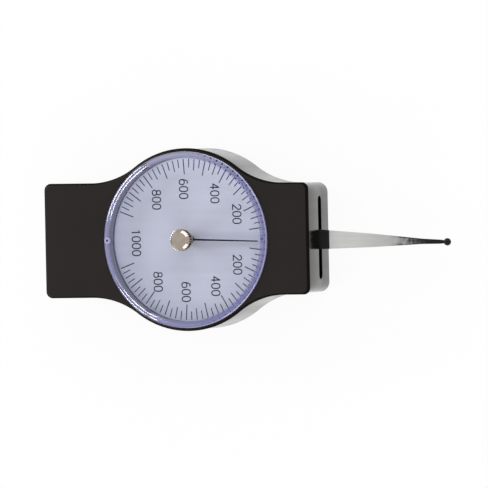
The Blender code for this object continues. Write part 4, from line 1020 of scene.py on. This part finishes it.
def make_knob_shell(finish):
    """The knurled knob and its neck, through loops that share one set of directions."""
    knurl = []
    count = KNURL_COUNT * len(KNURL_SHARES)
    for k in range(count):
        turn = 2 * pi * k / count
        knurl.append((cos(turn), sin(turn), KNURL_SHARES[k % len(KNURL_SHARES)]))

    def ring(radius, height, depth=0.0):
        return (height, [((radius - depth * low) * x, (radius - depth * low) * y) for x, y, low in knurl])

    levels = [ring(KNOB_NECK_RADIUS, KNOB_NECK_BOTTOM), ring(KNOB_NECK_RADIUS, KNOB_BOTTOM)]
    levels.append(ring(KNOB_RADIUS - KNOB_BOTTOM_CHAMFER, KNOB_BOTTOM))
    levels.append(ring(KNOB_RADIUS, KNOB_BOTTOM + KNOB_BOTTOM_CHAMFER, KNURL_DEPTH))
    shoulder = KNOB_TOP - KNOB_CHAMFER
    levels.append(ring(KNOB_RADIUS, shoulder - KNURL_SHOULDER, KNURL_DEPTH))
    levels.append(ring(KNOB_RADIUS - KNURL_DEPTH, shoulder))
    levels.append(ring(KNOB_RADIUS - KNURL_DEPTH - KNOB_CHAMFER_WIDTH, KNOB_TOP))
    knob = make_object("knob_shell", stacked(bmesh.new(), levels), KNOB_SHARP_ANGLE)
    put_at(knob, 0, HAND_REST_ANGLE)
    dress(knob, "peak", "reset_knob", finish)


def blade_half_width(share):
    """Half the feeler's width at a share of its length."""
    return BLADE_ROOT_HALF_WIDTH * float(np.interp(share, BLADE_PLACE_SHARES, BLADE_WIDTH_SHARES))


def make_feeler(finish):
    """A flat feeler that narrows to a round neck and ends in a ball."""
    stations = []
    for k in range(BLADE_STATIONS + 1):
        share = k / BLADE_STATIONS
        half = blade_half_width(share)
        round_share = max(0.0, (share - NECK_START_SHARE) / (1 - NECK_START_SHARE))
        bluntness = FLAT_BLUNTNESS + (1 - FLAT_BLUNTNESS) * round_share
        thin = min(BLADE_HALF_THICKNESS, half)
        stations.append((BLADE_START + BLADE_LENGTH * share, half, thin, bluntness))
    neck = acos(NECK_RADIUS / BALL_RADIUS) + pi / 2
    for k in range(BALL_STEPS):
        turn = neck * (1 - k / BALL_STEPS)
        half = BALL_RADIUS * sin(turn)
        stations.append((BALL_REACH + BALL_RADIUS * cos(turn), half, half, 1))
    loops = []
    for along, half, thin, bluntness in stations:
        loop = []
        for k in range(BLADE_SIDES):
            turn = 2 * pi * (k + 0.5) / BLADE_SIDES
            across = half * blunted(cos(turn), bluntness)
            loop.append((along, across, SLOT_HEIGHT + thin * blunted(sin(turn), bluntness)))
        loops.append(loop)
    feeler = make_object("feeler", lofted(bmesh.new(), loops))
    holes = bmesh.new()
    low = SLOT_HEIGHT - BLADE_HALF_THICKNESS - OVERRUN
    high = low + 2 * BLADE_HALF_THICKNESS + 2 * OVERRUN
    for reach in BLADE_SCREW_PLACES:
        rod(holes, BLADE_HOLE_RADIUS, low, high, SHAFT_SIDES, (reach, 0))
    carve(feeler, holes)
    smooth(feeler.data)
    put_at(feeler, LEVER_X, LEVER_REST_ANGLE)
    dress(feeler, "lever", "feeler_blade", finish)


def paint_frame(finishes):
    """Gives each CAD node that still shows the finish of its material slot."""
    for row in frame["record"]["subparts"]:
        mesh = frame["nodes"][row["node"]].data
        mesh.materials.clear()
        mesh.materials.append(finishes[row["material_slot"]])


# Stage


def light_path_share(tree, share):
    """share for rays from the camera and for mirrored and clear views, and 0 for light."""
    rays = tree.nodes.new("ShaderNodeLightPath")
    total = rays.outputs["Is Camera Ray"]
    for name in ("Is Glossy Ray", "Is Transmission Ray"):
        node = tree.nodes.new("ShaderNodeMath")
        node.operation = "MAXIMUM"
        tree.links.new(total, node.inputs[0])
        tree.links.new(rays.outputs[name], node.inputs[1])
        total = node.outputs[0]
    node = tree.nodes.new("ShaderNodeMath")
    node.operation = "MULTIPLY"
    node.inputs[1].default_value = share
    tree.links.new(total, node.inputs[0])
    return node.outputs[0]


def make_floor():
    """A floor that looks white to the camera and in mirrored and clear views, and keeps the shadow."""
    half = FLOOR_SIZE / 2
    mesh = bpy.data.meshes.new("floor")
    corners = [(-half, -half), (half, -half), (half, half), (-half, half)]
    mesh.from_pydata([(x, y, -FLOOR_DROP) for x, y in corners], [], [(0, 1, 2, 3)])
    floor = bpy.data.objects.new("floor", mesh)
    bpy.context.scene.collection.objects.link(floor)
    made = bpy.data.materials.new("floor")
    made.use_nodes = True
    tree = made.node_tree
    shader = tree.nodes["Principled BSDF"]
    shader.inputs["Base Color"].default_value = (0.9, 0.9, 0.9, 1.0)
    shader.inputs["Roughness"].default_value = 0.9
    shader.inputs["Specular IOR Level"].default_value = 0.0
    glow = tree.nodes.new("ShaderNodeEmission")
    mix = tree.nodes.new("ShaderNodeMixShader")
    tree.links.new(light_path_share(tree, FLOOR_SHOWN_SHARE), mix.inputs["Fac"])
    tree.links.new(shader.outputs[0], mix.inputs[1])
    tree.links.new(glow.outputs[0], mix.inputs[2])
    tree.links.new(mix.outputs[0], tree.nodes["Material Output"].inputs["Surface"])
    mesh.materials.append(made)


def make_world():
    """Plain white surroundings, which the camera sees at full strength."""
    world = bpy.data.worlds.new("studio")
    world.use_nodes = True
    tree = world.node_tree
    dim = tree.nodes["Background"]
    dim.inputs["Color"].default_value = (1, 1, 1, 1)
    dim.inputs["Strength"].default_value = AMBIENT
    shown = tree.nodes.new("ShaderNodeBackground")
    shown.inputs["Color"].default_value = (1, 1, 1, 1)
    mix = tree.nodes.new("ShaderNodeMixShader")
    rays = tree.nodes.new("ShaderNodeLightPath")
    tree.links.new(rays.outputs["Is Camera Ray"], mix.inputs["Fac"])
    tree.links.new(dim.outputs[0], mix.inputs[1])
    tree.links.new(shown.outputs[0], mix.inputs[2])
    tree.links.new(mix.outputs[0], tree.nodes["World Output"].inputs["Surface"])
    bpy.context.scene.world = world


def make_lamp(name, turn, height_angle, roll, width, height, brightness):
    """A soft rectangular lamp that faces the gauge, from a direction given in degrees."""
    flat = LAMP_DISTANCE * cos(radians(height_angle))
    height_above = LAMP_DISTANCE * sin(radians(height_angle))
    place = Vector((flat * cos(radians(turn)), flat * sin(radians(turn)), height_above))
    data = bpy.data.lights.new(name, "AREA")
    data.shape = "RECTANGLE"
    data.size = width
    data.size_y = height
    data.energy = brightness * pi * width * height
    lamp = bpy.data.objects.new(name, data)
    lamp.location = place
    facing = place.to_track_quat("Z", "Y").to_matrix()
    lamp.rotation_euler = (facing @ Matrix.Rotation(radians(roll), 3, "Z")).to_euler()
    bpy.context.scene.collection.objects.link(lamp)


def make_camera():
    """A parallel camera from the photograph's side."""
    toward = Vector(CAMERA_DIRECTION).normalized()
    right = Vector(CAMERA_UP).cross(toward).normalized()
    up = toward.cross(right)
    data = bpy.data.cameras.new("camera")
    data.type = "ORTHO"
    data.ortho_scale = CAMERA_WIDTH
    data.clip_start = CAMERA_DISTANCE / 100
    data.clip_end = CAMERA_DISTANCE * 10
    camera = bpy.data.objects.new("camera", data)
    camera.matrix_world = Matrix((right, up, toward)).transposed().to_4x4()
    camera.location = Vector(IMAGE_CENTRE) + toward * CAMERA_DISTANCE
    bpy.context.scene.collection.objects.link(camera)
    bpy.context.scene.camera = camera


def main():
    finishes = {
        "case_metal": case_metal("case_metal_finish"),
        "black_plastic": black_plastic("black_plastic_finish"),
        "clear_plastic": clear_violet("clear_violet_finish"),
        "dial_white": dial_white("dial_white_finish"),
        "black_paint": black_paint("black_paint_finish"),
        "nickel": turned_nickel("turned_nickel_finish"),
        "brass": metal("brass_finish", (0.55, 0.40, 0.17), (0.74, 0.58, 0.30), 0.3),
        "steel": metal("steel_finish", (0.42, 0.42, 0.43), (0.62, 0.62, 0.62), 0.26),
        "screw_steel": metal("screw_steel_finish", (0.18, 0.18, 0.19), (0.36, 0.37, 0.39), 0.34),
        "spring_steel": metal("spring_steel_finish", (0.14, 0.17, 0.26), (0.30, 0.33, 0.42), 0.28),
    }
    paint_frame(finishes)
    make_case_shell(finishes["case_metal"])
    make_cover_shell(finishes["black_plastic"])
    make_rear_shell(finishes["black_plastic"])
    make_crystal_lens(finishes["clear_plastic"], pip_violet("pip_violet_finish"))
    make_dial_face(finishes["dial_white"])
    make_dial_print(black_ink("ink_finish"))
    make_knob_shell(finishes["nickel"])
    make_feeler(feeler_steel("feeler_finish"))

    make_floor()
    make_world()
    for lamp in LAMPS:
        make_lamp(*lamp)
    make_camera()
    bpy.context.scene.view_settings.view_transform = "Standard"


main()
